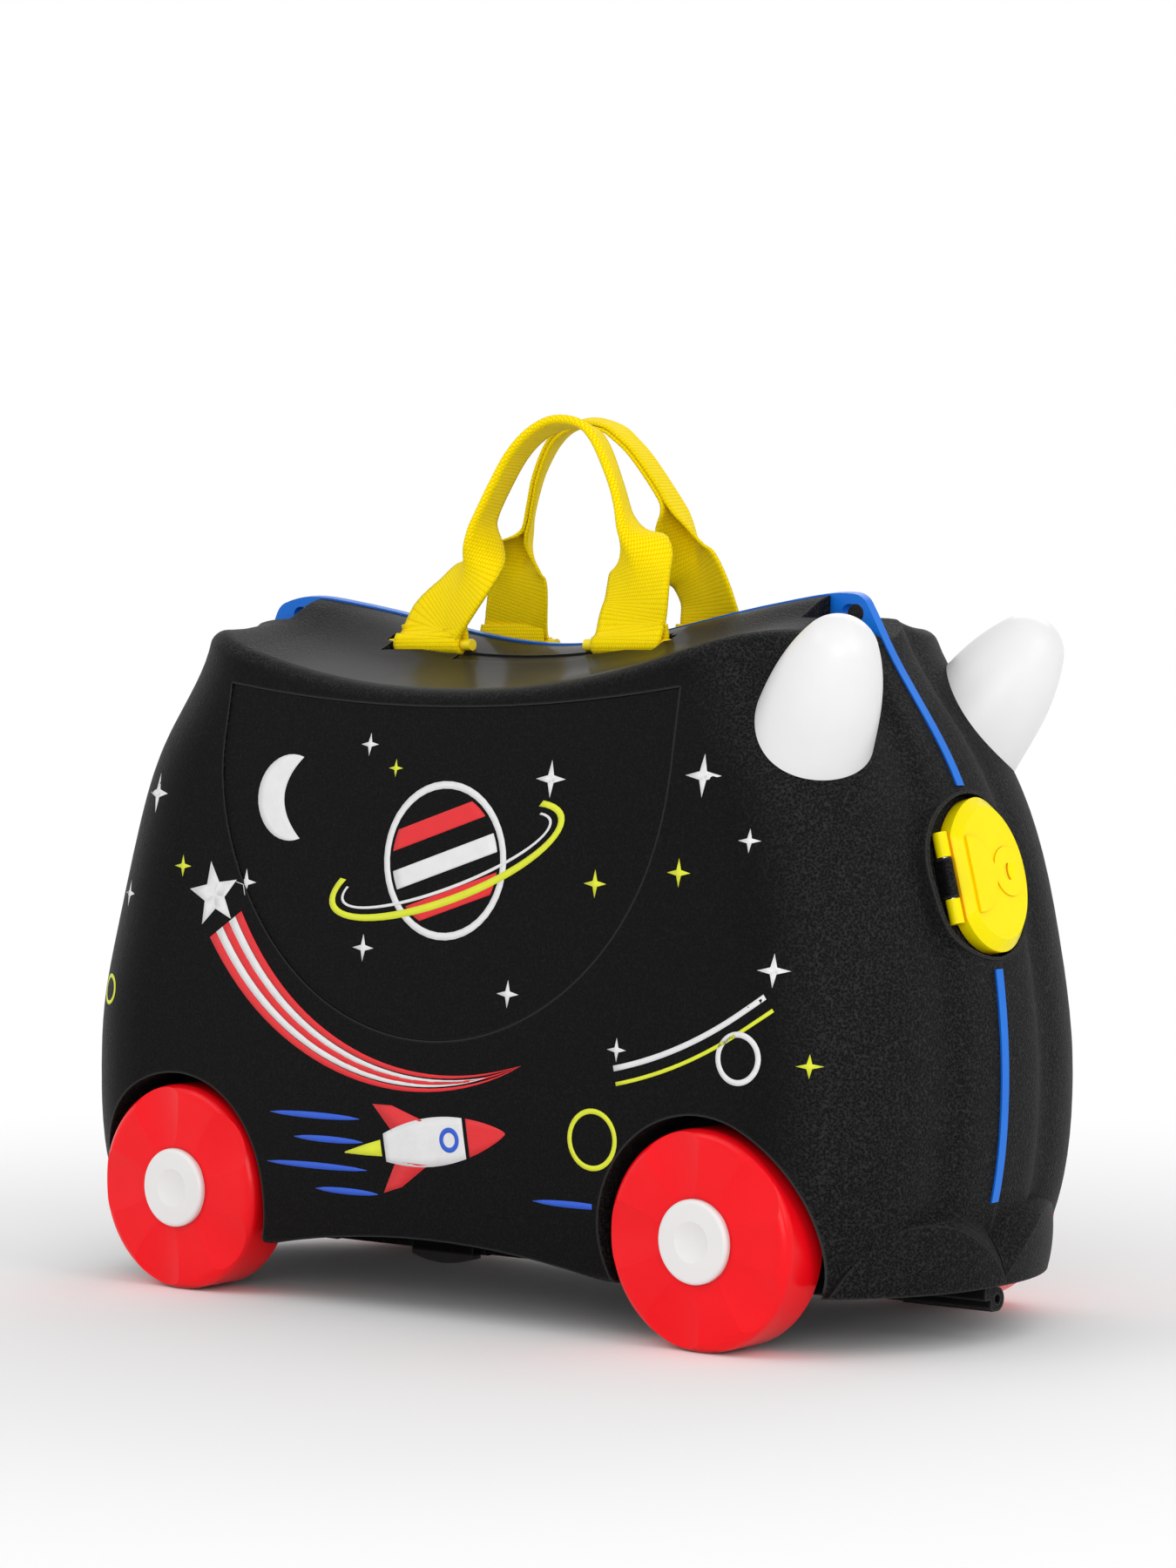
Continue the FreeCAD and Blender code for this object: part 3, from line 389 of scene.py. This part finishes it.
skidSet = {
    "colour": (0.012, 0.012, 0.012), "paleColour": (0.03, 0.03, 0.03), "rough": (0.5, 0.7),
    "pebbleScale": 500.0, "mottleScale": 60.0, "bump": 0.6, "bumpDepth": 0.0003,
}
webbingSet = {
    # dip is painted shade: a darker orange in the weave's dips
    "colour": (1.0, 0.83, 0.0), "dip": (0.96, 0.50, 0.0), "rough": (0.78, 0.62),
    "depth": 0.0002, "specular": 0.05, "sheen": 0.35, "sheenTint": (1.0, 0.86, 0.12),
}


def makeSteelMaterial():
    material, tree, shader = startMaterial("drawnSteel")
    gloss = placeGroup(
        tree, glossGroup, WaveScale=steelSet["drawScale"], SmudgeScale=steelSet["smudgeScale"])
    shader.inputs["Base Color"].default_value = steelSet["colour"] + (1,)
    shader.inputs["Metallic"].default_value = 1.0
    linkRange(tree, gloss["Smudge"], *steelSet["rough"], shader.inputs["Roughness"])
    bumpInto(tree, shader, gloss["Height"], steelSet["bump"], steelSet["bumpDepth"])
    return material


def makeSkidMaterial():
    material, tree, shader = startMaterial("skidBlack")
    grain = placeGroup(
        tree, grainGroup, PebbleScale=skidSet["pebbleScale"], MottleScale=skidSet["mottleScale"])
    tone = mixColour(tree, grain["Mottle"], skidSet["colour"], skidSet["paleColour"])
    tree.links.new(tone, shader.inputs["Base Color"])
    linkRange(tree, grain["Mottle"], *skidSet["rough"], shader.inputs["Roughness"])
    bumpInto(tree, shader, grain["Height"], skidSet["bump"], skidSet["bumpDepth"])
    return material


def makeWebbingMaterial():
    material, tree, shader = startMaterial("webbingYellow")
    weave = placeGroup(tree, weaveGroup)
    # painted shade: the weave's dips get the darker orange dip colour
    tone = mixColour(tree, weave["Shade"], webbingSet["dip"], webbingSet["colour"])
    tree.links.new(tone, shader.inputs["Base Color"])
    linkRange(tree, weave["Shade"], *webbingSet["rough"], shader.inputs["Roughness"])
    shader.inputs["Specular IOR Level"].default_value = webbingSet["specular"]
    shader.inputs["Sheen Weight"].default_value = webbingSet["sheen"]
    shader.inputs["Sheen Tint"].default_value = webbingSet["sheenTint"] + (1,)
    bumpInto(tree, shader, weave["Height"], 1.0, webbingSet["depth"])
    return material


finishes = {name: makeGlossMaterial(name, look) for name, look in plasticLooks.items()}
finishes["shellBlack"] = makeShellMaterial()
finishes["drawnSteel"] = makeSteelMaterial()
finishes["skidBlack"] = makeSkidMaterial()
webbing = makeWebbingMaterial()
slotFinish = {
    "shell_black": "shellBlack", "trim_blue": "trimBlue", "horn_white": "hornWhite",
    "wheel_red": "wheelRed", "cap_white": "capWhite", "bar_yellow": "barYellow",
    "catch_yellow": "catchYellow", "lock_yellow": "catchYellow", "strap_yellow": "barYellow",
    "skid_black": "skidBlack", "ring_steel": "drawnSteel", "pin_steel": "drawnSteel",
}
for part in frame["record"]["subparts"]:
    target = nodes[part["node"]]
    target.data.materials.clear()
    target.data.materials.append(finishes[slotFinish[part["material_slot"]]])
print("finishes on the moulded parts")


# Studio: white floor that fades into a white background, four soft lamps
studioSet = {
    "floorTone": 0.90,
    "floorRough": 0.9,
    "floorSize": 14.0,
    "fade": (0.36, 0.85),
    "sky": [(0.5, 0.58), (0.62, 0.70), (0.80, 0.82)],
    "lamps": [
        ("keyLamp", (-0.9, -1.6, 1.9), (1.4, 1.0), 6.0),
        ("fillLamp", (1.4, -1.75, 0.6), (1.3, 0.9), 11.5),
        ("endLamp", (1.9, -0.2, 1.1), (0.9, 1.2), 6.0),
        ("backLamp", (-0.6, 1.9, 1.7), (1.6, 0.9), 8.0),
    ],
    "aim": (0.0, 0.0, 0.17),
}


def shownRays(tree):
    path = addNode(tree, "ShaderNodeLightPath").outputs
    direct = mathNode(tree, "MAXIMUM", path["Is Camera Ray"], path["Is Glossy Ray"])
    return mathNode(tree, "MAXIMUM", direct, path["Is Transmission Ray"])


def makeFloorMaterial():
    material, tree, shader = startMaterial("whiteFloor")
    tone = studioSet["floorTone"]
    shader.inputs["Base Color"].default_value = (tone, tone, tone, 1)
    shader.inputs["Roughness"].default_value = studioSet["floorRough"]
    shader.inputs["Specular IOR Level"].default_value = 0.0
    spread = addNode(tree, "ShaderNodeVectorMath", operation="LENGTH")
    tree.links.new(addNode(tree, "ShaderNodeTexCoord").outputs["Object"], spread.inputs[0])
    away = addNode(tree, "ShaderNodeMapRange", interpolation_type="SMOOTHSTEP")
    away.inputs["From Min"].default_value, away.inputs["From Max"].default_value = studioSet["fade"]
    tree.links.new(spread.outputs["Value"], away.inputs["Value"])
    white = addNode(tree, "ShaderNodeEmission")
    blend = addNode(tree, "ShaderNodeMixShader")
    tree.links.new(mathNode(tree, "MULTIPLY", away.outputs[0], shownRays(tree)), blend.inputs[0])
    tree.links.new(shader.outputs[0], blend.inputs[1])
    tree.links.new(white.outputs[0], blend.inputs[2])
    tree.links.new(blend.outputs[0], tree.nodes["Material Output"].inputs["Surface"])
    return material


def addFloor():
    bpy.ops.mesh.primitive_plane_add(size=studioSet["floorSize"], location=(0, 0, 0))
    floor = bpy.context.object
    floor.name = "studioFloor"
    floor.data.materials.append(makeFloorMaterial())


def addWorld():
    world = bpy.data.worlds.new("studioWorld")
    world.use_nodes = True
    bpy.context.scene.world = world
    tree = world.node_tree
    back = tree.nodes["Background"]
    height = addNode(tree, "ShaderNodeSeparateXYZ")
    tree.links.new(addNode(tree, "ShaderNodeTexCoord").outputs["Generated"], height.inputs[0])
    lifted = mathNode(tree, "ADD", mathNode(tree, "MULTIPLY", height.outputs["Z"], 0.5), 0.5)  # 0 to 1
    sky = rampNode(tree, lifted, studioSet["sky"])
    tree.links.new(mixColour(tree, shownRays(tree), sky, (1.0, 1.0, 1.0)), back.inputs["Color"])


def addLamps():
    for name, place, size, power in studioSet["lamps"]:
        data = bpy.data.lights.new(name, "AREA")
        data.shape = "RECTANGLE"
        data.size, data.size_y = size
        data.energy = power
        lamp = bpy.data.objects.new(name, data)
        lamp.location = place
        aim = Vector(studioSet["aim"]) - Vector(place)
        lamp.rotation_euler = aim.to_track_quat("-Z", "Y").to_euler()
        bpy.context.scene.collection.objects.link(lamp)


addFloor()
addWorld()
addLamps()
bpy.context.scene.view_settings.view_transform = "Standard"
print("studio lit")


# Webbing handles: one ribbon round both bars, folded lengthwise into a grip; millimetres and degrees
strapSet = {
    "width": 37.0, "ply": 1.6, "barX": 56.0, "barY": 30.0, "wrapRadius": 3.5,
    "tail": [(1.9, 9.0), (2.9, 5.0)], "leaving": (-2.0, 4.0),
    "wrapAngles": (10, -30, -70, -110, -150, -190),
    "samples": 7, "acrossHalf": 12, "runPower": 1.7, "foldRun": 2.0, "foldTurn": 91.0, "leastInward": 0.05,
    # along X, inward lean, rise above the bar, fold share, twist
    "near": [
        (-55.0, 0.05, 9.0, 0.0, 15), (-46.0, 0.13, 20.0, 0.04, 24), (-38.0, 0.20, 32.0, 0.2, 25),
        (-35.0, 0.28, 45.0, 0.75, 6), (-33.5, 0.35, 56.0, 1.0, -10), (-28.0, 0.43, 69.0, 1.0, -12),
        (-19.5, 0.52, 84.0, 1.0, -10), (-9.0, 0.57, 93.5, 1.0, -4), (4.0, 0.60, 98.0, 1.0, 5),
        (18.0, 0.59, 95.5, 1.0, 15), (27.0, 0.55, 88.0, 1.0, 21), (37.5, 0.44, 72.0, 1.0, 25),
        (43.5, 0.37, 60.0, 1.0, 24), (48.0, 0.31, 50.0, 0.85, 16), (53.5, 0.25, 40.0, 0.4, 4),
        (55.5, 0.19, 31.0, 0.12, -5), (56.5, 0.12, 19.0, 0.0, -6), (55.5, 0.05, 9.0, 0.0, -3)],
    "farSide": [
        (-54.5, 0.05, 10.0, 0.0, -1), (-50.5, 0.17, 26.0, 0.02, -5), (-49.0, 0.23, 36.0, 0.25, -2),
        (-45.5, 0.29, 46.0, 0.75, 18), (-41.0, 0.34, 54.0, 1.0, 34), (-36.0, 0.41, 66.0, 1.0, 34),
        (-30.5, 0.48, 77.0, 1.0, 30), (-22.0, 0.55, 88.5, 1.0, 24), (-13.0, 0.59, 95.5, 1.0, 16),
        (-1.0, 0.60, 98.5, 1.0, 8), (13.0, 0.59, 96.0, 1.0, -2), (21.0, 0.56, 90.5, 1.0, -7),
        (29.5, 0.50, 81.5, 1.0, -10), (41.5, 0.39, 63.5, 1.0, -10), (45.0, 0.33, 53.0, 0.75, 0),
        (48.5, 0.25, 40.0, 0.35, 12), (52.5, 0.19, 31.0, 0.1, 18), (55.5, 0.13, 20.5, 0.0, 17),
        (56.5, 0.06, 10.0, 0.0, 8)],
}


def smoothChain(points, samples):
    # a smooth curve through all the points
    result = []
    last = len(points) - 1
    for index in range(last):
        near = (points[max(index - 1, 0)], points[index], points[index + 1], points[min(index + 2, last)])
        for step in range(samples):
            t = step / samples
            weights = (
                -0.5 * t + t * t - 0.5 * t ** 3, 1 - 2.5 * t * t + 1.5 * t ** 3,
                0.5 * t + 2 * t * t - 1.5 * t ** 3, -0.5 * t * t + 0.5 * t ** 3)
            result.append(tuple(sum(w * v for w, v in zip(weights, values)) for values in zip(*near)))
    return result + [tuple(points[last])]


def wrapPoints(sign, barHeight):
    # tail on the inside, under the bar, then up on the outside: (x, y, z, fold, wrap share, twist)
    radius, x, y = strapSet["wrapRadius"], sign * strapSet["barX"], -strapSet["barY"]
    rows = list(strapSet["tail"])
    for angle in strapSet["wrapAngles"]:
        turn = math.radians(angle)
        rows.append((radius * math.cos(turn), radius * math.sin(turn)))
    rows.append(strapSet["leaving"])
    return [(x, y + offset, barHeight + rise, 0.0, 1.0, 0.0) for offset, rise in rows]


def strapStations(route, barHeight):
    chain = wrapPoints(-1, barHeight)
    for x, lean, rise, fold, twist in route:
        chain.append((x, -strapSet["barY"] * (1 - lean), barHeight + rise, fold, 0.0, twist))
    chain += wrapPoints(1, barHeight)[::-1]
    return smoothChain(chain, strapSet["samples"])


def stationFrame(stations, index):
    # place, direction across the ribbon, direction to its outside and fold share
    here = Vector(stations[index][:3])
    fold, wrapped, twist = stations[index][3:]
    before = Vector(stations[max(index - 1, 0)][:3])
    after = Vector(stations[min(index + 1, len(stations) - 1)][:3])
    way = (after - before).normalized()
    level = Vector((-1.0 if here.x < 0 else 1.0, 0, 0))
    inward = Vector((0, 1, 0))
    inward = inward - way * inward.dot(way)
    free = way.cross(inward.normalized()) if inward.length > strapSet["leastInward"] else level
    wide = (free * (1 - wrapped) + level * wrapped).normalized()
    wide = Quaternion(way, -math.radians(twist)) @ (wide - way * wide.dot(way)).normalized()
    return here, wide, wide.cross(way).normalized(), min(max(fold, 0.0), 1.0)


def halfRuns():
    # distances from the ribbon's middle to its edge, closer together at the fold
    half, count = strapSet["width"] / 2, strapSet["acrossHalf"]
    return [half * (index / count) ** strapSet["runPower"] for index in range(count + 1)]


def sectionLine(fold):
    # half ribbon bent about its middle: offsets along the ribbon and towards the fold
    turn = math.radians(strapSet["foldTurn"]) * fold
    wide, deep = [0.0], [0.0]
    for first, second in zip(halfRuns(), halfRuns()[1:]):
        share = min((first + second) / 2 / strapSet["foldRun"], 1.0)
        wide.append(wide[-1] + (second - first) * math.cos(turn * share))
        deep.append(deep[-1] + (second - first) * math.sin(turn * share))
    middle = max(deep) / 2
    right = [(w, d - middle) for w, d in zip(wide, deep)]
    return [(-w, d) for w, d in reversed(right[1:])] + right


def addRing(mesh, here, wide, out, line):
    ring = []
    for layer in (strapSet["ply"] / 2, -strapSet["ply"] / 2):
        row = []
        for spot in range(len(line)):
            a, b = line[max(spot - 1, 0)], line[min(spot + 1, len(line) - 1)]
            run = Vector((b[0] - a[0], b[1] - a[1])).normalized()
            w = line[spot][0] - run.y * layer
            d = line[spot][1] + run.x * layer
            row.append(mesh.verts.new((here + wide * w + out * d) * mm))
        ring.append(row)
    return ring


def sewRibbon(mesh, unrolled, rings, marks):
    # both faces of the ribbon, its two edges and its two ends
    half, ply = strapSet["width"] / 2, strapSet["ply"]
    across = [half - run for run in reversed(halfRuns()[1:])] + [half + run for run in halfRuns()]
    last = len(across) - 1

    def face(corners, places):
        made = mesh.faces.new(corners)
        made.smooth = True
        for loop, place in zip(made.loops, places):
            loop[unrolled].uv = place

    for low, high, v0, v1 in zip(rings, rings[1:], marks, marks[1:]):
        for layer in (0, 1):
            for spot in range(last):
                u0, u1 = across[spot], across[spot + 1]
                face((low[layer][spot], low[layer][spot + 1], high[layer][spot + 1], high[layer][spot]),
                     ((u0, v0), (u1, v0), (u1, v1), (u0, v1)))
        for spot in (0, last):
            face((low[0][spot], low[1][spot], high[1][spot], high[0][spot]),
                 ((0, v0), (ply, v0), (ply, v1), (0, v1)))
    for ring in (rings[0], rings[-1]):
        for spot in range(last):
            u0, u1 = across[spot], across[spot + 1]
            face((ring[0][spot], ring[0][spot + 1], ring[1][spot + 1], ring[1][spot]),
                 ((u0, 0), (u1, 0), (u1, 1), (u0, 1)))


def makeStrap(name, route, body, side):
    barHeight = sum(corner.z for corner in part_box(side + "_handle_bars")) / 2 / mm
    stations = strapStations(route, barHeight)
    mesh = bmesh.new()
    unrolled = mesh.loops.layers.uv.new("unrolled")
    rings, marks = [], [0.0]
    for index in range(len(stations)):
        here, wide, out, fold = stationFrame(stations, index)
        rings.append(addRing(mesh, here, wide, out, sectionLine(fold)))
    for first, second in zip(stations, stations[1:]):
        marks.append(marks[-1] + (Vector(second[:3]) - Vector(first[:3])).length)
    sewRibbon(mesh, unrolled, rings, marks)
    if side == "left":
        for vert in mesh.verts:
            vert.co.y = -vert.co.y
    bmesh.ops.recalc_face_normals(mesh, faces=mesh.faces)
    data = bpy.data.meshes.new(name)
    mesh.to_mesh(data)
    mesh.free()
    strap = bpy.data.objects.new(name, data)
    bpy.context.scene.collection.objects.link(strap)
    data.materials.append(webbing)
    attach(strap, body)
    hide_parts(side + "_handle_strap")


makeStrap("rightHandleWebbing", strapSet["near"], "right_handle", "right")
makeStrap("leftHandleWebbing", strapSet["farSide"], "left_handle", "left")
print("webbing handles sewn")


# Screen print on both sides: a plain night sky, laid on the shell as thin ink films
inkSet = {
    "colours": {
        "inkWhite": (0.80, 0.80, 0.80), "inkRed": (0.78, 0.012, 0.018),
        "inkLime": (0.74, 0.80, 0.02), "inkBlue": (0.012, 0.10, 0.66)},
    "wornShare": 0.86, "mottleScale": 160.0, "rough": (0.42, 0.58), "bump": 0.35, "bumpDepth": 0.0002,
}


def makeInk(name, colour):
    material, tree, shader = startMaterial(name)
    grain = placeGroup(tree, grainGroup, MottleScale=inkSet["mottleScale"])
    wearAndPaintedLight = tuple(c * inkSet["wornShare"] for c in colour)
    tree.links.new(mixColour(tree, grain["Mottle"], wearAndPaintedLight, colour), shader.inputs["Base Color"])
    linkRange(tree, grain["Mottle"], *inkSet["rough"], shader.inputs["Roughness"])
    bumpInto(tree, shader, grain["Height"], inkSet["bump"], inkSet["bumpDepth"])
    return material


inks = {name: makeInk(name, colour) for name, colour in inkSet["colours"].items()}


# The print's shapes are bands between two lines of as many points, in millimetres along X and Z
lineSet = {"finest": 5.0, "arcStep": 9.0, "leastSteps": 8, "ovalSteps": 40}


def spaced(start, stop, count):
    return [start + (stop - start) * index / count for index in range(count + 1)]


def polar(x, z, radius, degrees):
    turn = math.radians(degrees)
    return (x + radius * math.cos(turn), z + radius * math.sin(turn))


def spin(point, x, z, degrees):
    cosine, sine = math.cos(math.radians(degrees)), math.sin(math.radians(degrees))
    dx, dz = point[0] - x, point[1] - z
    return (x + dx * cosine - dz * sine, z + dx * sine + dz * cosine)


def arcBand(x, z, inner, outer, start, stop):
    span = abs(stop - start)
    count = int(math.radians(span) * outer / lineSet["finest"])
    angles = spaced(start, stop, max(count, int(span / lineSet["arcStep"]), lineSet["leastSteps"]))
    return [polar(x, z, inner, angle) for angle in angles], [polar(x, z, outer, angle) for angle in angles]


def ovalBand(x, z, wide, tall, band, start, stop, tilt):
    turns = [math.radians(angle) for angle in spaced(start, stop, lineSet["ovalSteps"])]
    lines = []
    for grow in (-band / 2, band / 2):
        flat = [(x + (wide + grow) * math.cos(turn), z + (tall + grow) * math.sin(turn)) for turn in turns]
        lines.append([spin(point, x, z, tilt) for point in flat])
    return lines


def chordBand(x, z, radius, low, high, tilt):
    # slice of a disc between two parallel chords
    lines = [[], []]
    for level in spaced(low, high, lineSet["leastSteps"]):
        reach = math.sqrt(max(radius ** 2 - level ** 2, 0.0))
        lines[0].append(spin((x - reach, z + level), x, z, tilt))
        lines[1].append(spin((x + reach, z + level), x, z, tilt))
    return lines


def starBands(x, z, radius, look):
    bands = []
    half = 180.0 / look["points"]
    waist = radius * look["waist"]
    for index in range(look["points"]):
        angle = look["tilt"] + 360.0 * index / look["points"]
        first = [polar(x, z, waist, angle - half), polar(x, z, radius, angle)]
        second = [(x, z), polar(x, z, waist, angle + half)]
        bands.append((first, second))
    return bands


planetSet = {
    "x": 6.0, "z": 197.0, "radius": 34.0, "outline": 3.2, "tilt": 18.0,
    "stripes": 3, "stripeMargin": 2.0, "stripeInset": 1.6,
    "halo": {"wide": 66.0, "tall": 17.0, "band": 3.4, "span": (150, 390)},
    "thinHalo": {"wide": 60.0, "tall": 12.0, "band": 1.4, "span": (158, 382)},
}


def planetBands():
    x, z, radius, tilt = (planetSet[key] for key in ("x", "z", "radius", "tilt"))
    rim = radius - planetSet["outline"]
    shapes = [("inkWhite", 0, arcBand(x, z, rim, radius, 0, 360))]
    pitch = 2 * (rim - planetSet["stripeMargin"]) / (2 * planetSet["stripes"] + 1)
    inside = rim - planetSet["stripeInset"]
    for index in range(planetSet["stripes"]):
        low = -inside + pitch * (2 * index + 1)
        ink = "inkRed" if index % 2 == 0 else "inkWhite"
        shapes.append((ink, 0, chordBand(x, z, inside, low, low + pitch, tilt)))
    for ink, name in (("inkLime", "halo"), ("inkWhite", "thinHalo")):
        halo = planetSet[name]
        oval = ovalBand(x, z, halo["wide"], halo["tall"], halo["band"], *halo["span"], tilt)
        shapes.append((ink, 1, oval))
    return shapes


moonSet = {"x": -84.0, "z": 222.0, "radius": 19.0, "bite": 9.0, "span": (70, 290), "steps": 24}


def moonBands():
    outer = [polar(moonSet["x"], moonSet["z"], moonSet["radius"], angle)
             for angle in spaced(*moonSet["span"], moonSet["steps"])]
    low, high = outer[-1], outer[0]
    inner = []
    for share in spaced(0.0, 1.0, moonSet["steps"]):
        depth = 4 * share * (1 - share) * (moonSet["radius"] - moonSet["bite"])
        inner.append((high[0] + (low[0] - high[0]) * share - depth, high[1] + (low[1] - high[1]) * share))
    return [("inkWhite", 0, (outer, inner))]


cometSet = {
    "x": 0.0, "z": 245.0, "radius": 143.0, "start": 208.0, "stop": 292.0, "gap": 6.0,
    "bands": 5, "width": 22.0, "taper": 0.8, "shorter": 0.1, "steps": 30,
    "head": 15.0, "star": {"points": 5, "waist": 0.42, "tilt": 100},
}


def cometBands():
    x, z, radius, count = (cometSet[key] for key in ("x", "z", "radius", "bands"))
    start = cometSet["start"] + cometSet["gap"]
    shapes = []
    for index in range(count):
        lines = [[], []]
        sweep = (cometSet["stop"] - start) * (1 - cometSet["shorter"] * (index % 2))
        for share in spaced(0.0, 1.0, cometSet["steps"]):
            width = cometSet["width"] * (1 - share) ** cometSet["taper"]
            for line, edge in zip(lines, (index, index + 1)):
                line.append(polar(x, z, radius - width / 2 + width * edge / count, start + sweep * share))
        shapes.append(("inkRed" if index % 2 == 0 else "inkWhite", 0, lines))
    head = polar(x, z, radius, cometSet["start"])
    for band in starBands(*head, cometSet["head"], cometSet["star"]):
        shapes.append(("inkWhite", 1, band))
    return shapes


# Thin orbit lines, small rings, four-pointed stars and speed dashes
skySet = {
    "orbits": [(62.0, 306.0, 196.0, 2.4, "inkWhite"), (62.0, 306.0, 202.5, 1.6, "inkLime")],
    "orbitSpan": (282.0, 306.0),
    "rings": [
        (166.0, 122.0, 11.0, 2.4, "inkWhite"), (92.0, 84.0, 13.0, 2.2, "inkLime"),
        (-196.0, 132.0, 7.0, 1.8, "inkLime")],
    "star": {"points": 4, "waist": 0.28, "tilt": 90},
    "sparks": [
        (62, 233, 8, "inkWhite"), (-38, 158, 6, "inkWhite"), (-108, 184, 6, "inkWhite"),
        (142, 236, 9, "inkWhite"), (180, 158, 7, "inkWhite"), (-168, 222, 9, "inkWhite"),
        (-40, 246, 5, "inkWhite"), (44, 142, 6, "inkWhite"), (132, 196, 6, "inkLime"),
        (88, 190, 6, "inkLime"), (-24, 236, 4, "inkLime"), (-146, 190, 5, "inkLime"),
        (104, 122, 5, "inkWhite"), (-186, 176, 6, "inkWhite"), (196, 120, 5, "inkLime"),
        (166, 210, 5, "inkWhite")],
    "dashes": [(-88, 84, 52), (-74, 74, 40), (-90, 62, 58), (-62, 52, 36), (60, 56, 42)],
    "bulge": 1.3, "bulgePower": 0.6, "dashEnd": 0.12,
}


def skyBands():
    shapes = []
    for x, z, radius, width, ink in skySet["orbits"]:
        shapes.append((ink, 0, arcBand(x, z, radius - width / 2, radius + width / 2, *skySet["orbitSpan"])))
    for x, z, radius, width, ink in skySet["rings"]:
        shapes.append((ink, 0, arcBand(x, z, radius - width, radius, 0, 360)))
    for x, z, radius, ink in skySet["sparks"]:
        for band in starBands(x, z, radius, skySet["star"]):
            shapes.append((ink, 0, band))
    for x, z, length in skySet["dashes"]:
        lines = [[], []]
        for share in spaced(0.0, 1.0, lineSet["leastSteps"]):
            rise = skySet["bulge"] * math.sin(math.pi * share) ** skySet["bulgePower"] + skySet["dashEnd"]
            lines[0].append((x + length * share, z - rise))
            lines[1].append((x + length * share, z + rise))
        shapes.append(("inkBlue", 0, lines))
    return shapes


# Rocket: places along it are shares of its length, the fins' reaches are shares of its width
rocketSet = {
    "x": 12.0, "z": 78.0, "length": 68.0, "width": 21.0, "tilt": 9.0, "steps": 16,
    "tailShare": 0.16, "hullPower": 0.75, "body": (0.0, 0.66), "nose": (0.69, 0.995),
    "window": 0.04, "windowRadii": (3.2, 5.4),
    "finRoot": [(-0.42, 0.30), (-0.16, 0.46)], "finTip": [(-0.56, 0.92), (-0.40, 0.84)],
    "flame": [(-0.53, 3.6), (-0.66, 2.4), (-0.84, 0.3)],
}


def rocketBands():
    x, z, length, width, tilt = (rocketSet[key] for key in ("x", "z", "length", "width", "tilt"))

    def turned(points):
        return [spin((x + px, z + pz), x, z, tilt) for px, pz in points]

    def mirrored(points):
        return turned([(px, -pz) for px, pz in points]), turned(points)

    def hull(start, stop):
        points = []
        for share in spaced(start, stop, rocketSet["steps"]):
            swell = math.sin(math.pi * (rocketSet["tailShare"] + (1 - rocketSet["tailShare"]) * share))
            points.append(((share - 0.5) * length, width / 2 * swell ** rocketSet["hullPower"]))
        return mirrored(points)

    shapes = [("inkWhite", 0, hull(*rocketSet["body"])), ("inkRed", 0, hull(*rocketSet["nose"]))]
    window = spin((x + rocketSet["window"] * length, z), x, z, tilt)
    shapes.append(("inkBlue", 1, arcBand(*window, *rocketSet["windowRadii"], 0, 360)))
    for sign in (-1, 1):
        fin = []
        for edge in ("finRoot", "finTip"):
            fin.append(turned([(along * length, sign * out * width) for along, out in rocketSet[edge]]))
        shapes.append(("inkRed", 0, fin))
    shapes.append(("inkLime", 0, mirrored([(along * length, out) for along, out in rocketSet["flame"]])))
    return shapes


filmSet = {"lift": 0.10, "layerLift": 0.07, "thickness": 0.08, "castFrom": 300.0, "weld": 1e-6}


def layBand(mesh, ground, sign, layer, band):
    # rows of small faces between the band's two lines, dropped straight onto the shell's side
    first, second = band
    reach = max(math.dist(a, b) for a, b in zip(first, second))
    rows = max(int(math.ceil(reach / lineSet["finest"])), 1)
    lift = Vector((0, sign * (filmSet["lift"] + filmSet["layerLift"] * layer) * mm, 0))
    grid = []
    for a, b in zip(first, second):
        line = []
        for x, z in zip(spaced(a[0], b[0], rows), spaced(a[1], b[1], rows)):
            start = Vector((x, sign * filmSet["castFrom"], z)) * mm
            spot = ground.ray_cast(start, Vector((0, -sign, 0)))[0]
            line.append(mesh.verts.new(spot + lift))
        grid.append(line)
    for low, high in zip(grid, grid[1:]):
        for row in range(rows):
            mesh.faces.new((low[row], low[row + 1], high[row + 1], high[row]))


def layInk(name, ink, bands, side):
    shell = nodes[side + "_shell"].data
    ground = BVHTree.FromPolygons([v.co for v in shell.vertices], [p.vertices for p in shell.polygons])
    sign = -1.0 if side == "right" else 1.0
    mesh = bmesh.new()
    for layer, band in bands:
        layBand(mesh, ground, sign, layer, band)
    bmesh.ops.remove_doubles(mesh, verts=mesh.verts, dist=filmSet["weld"])
    bmesh.ops.dissolve_degenerate(mesh, edges=mesh.edges, dist=filmSet["weld"])
    for face in mesh.faces:
        face.normal_update()
        if face.normal.y * sign < 0:
            face.normal_flip()
        face.smooth = True
    data = bpy.data.meshes.new(name)
    mesh.to_mesh(data)
    mesh.free()
    film = bpy.data.objects.new(name, data)
    bpy.context.scene.collection.objects.link(film)
    data.materials.append(inks[ink])
    thick = film.modifiers.new("film", "SOLIDIFY")
    thick.thickness = filmSet["thickness"] * mm
    thick.offset = -1
    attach(film, side + "_half")


artwork = planetBands() + moonBands() + cometBands() + skyBands() + rocketBands()
for side in ("right", "left"):
    for ink in inks:
        bands = [(layer, band) for name, layer, band in artwork if name == ink]
        layInk(side + "Print" + ink[3:], ink, bands, side)
print("sides printed")
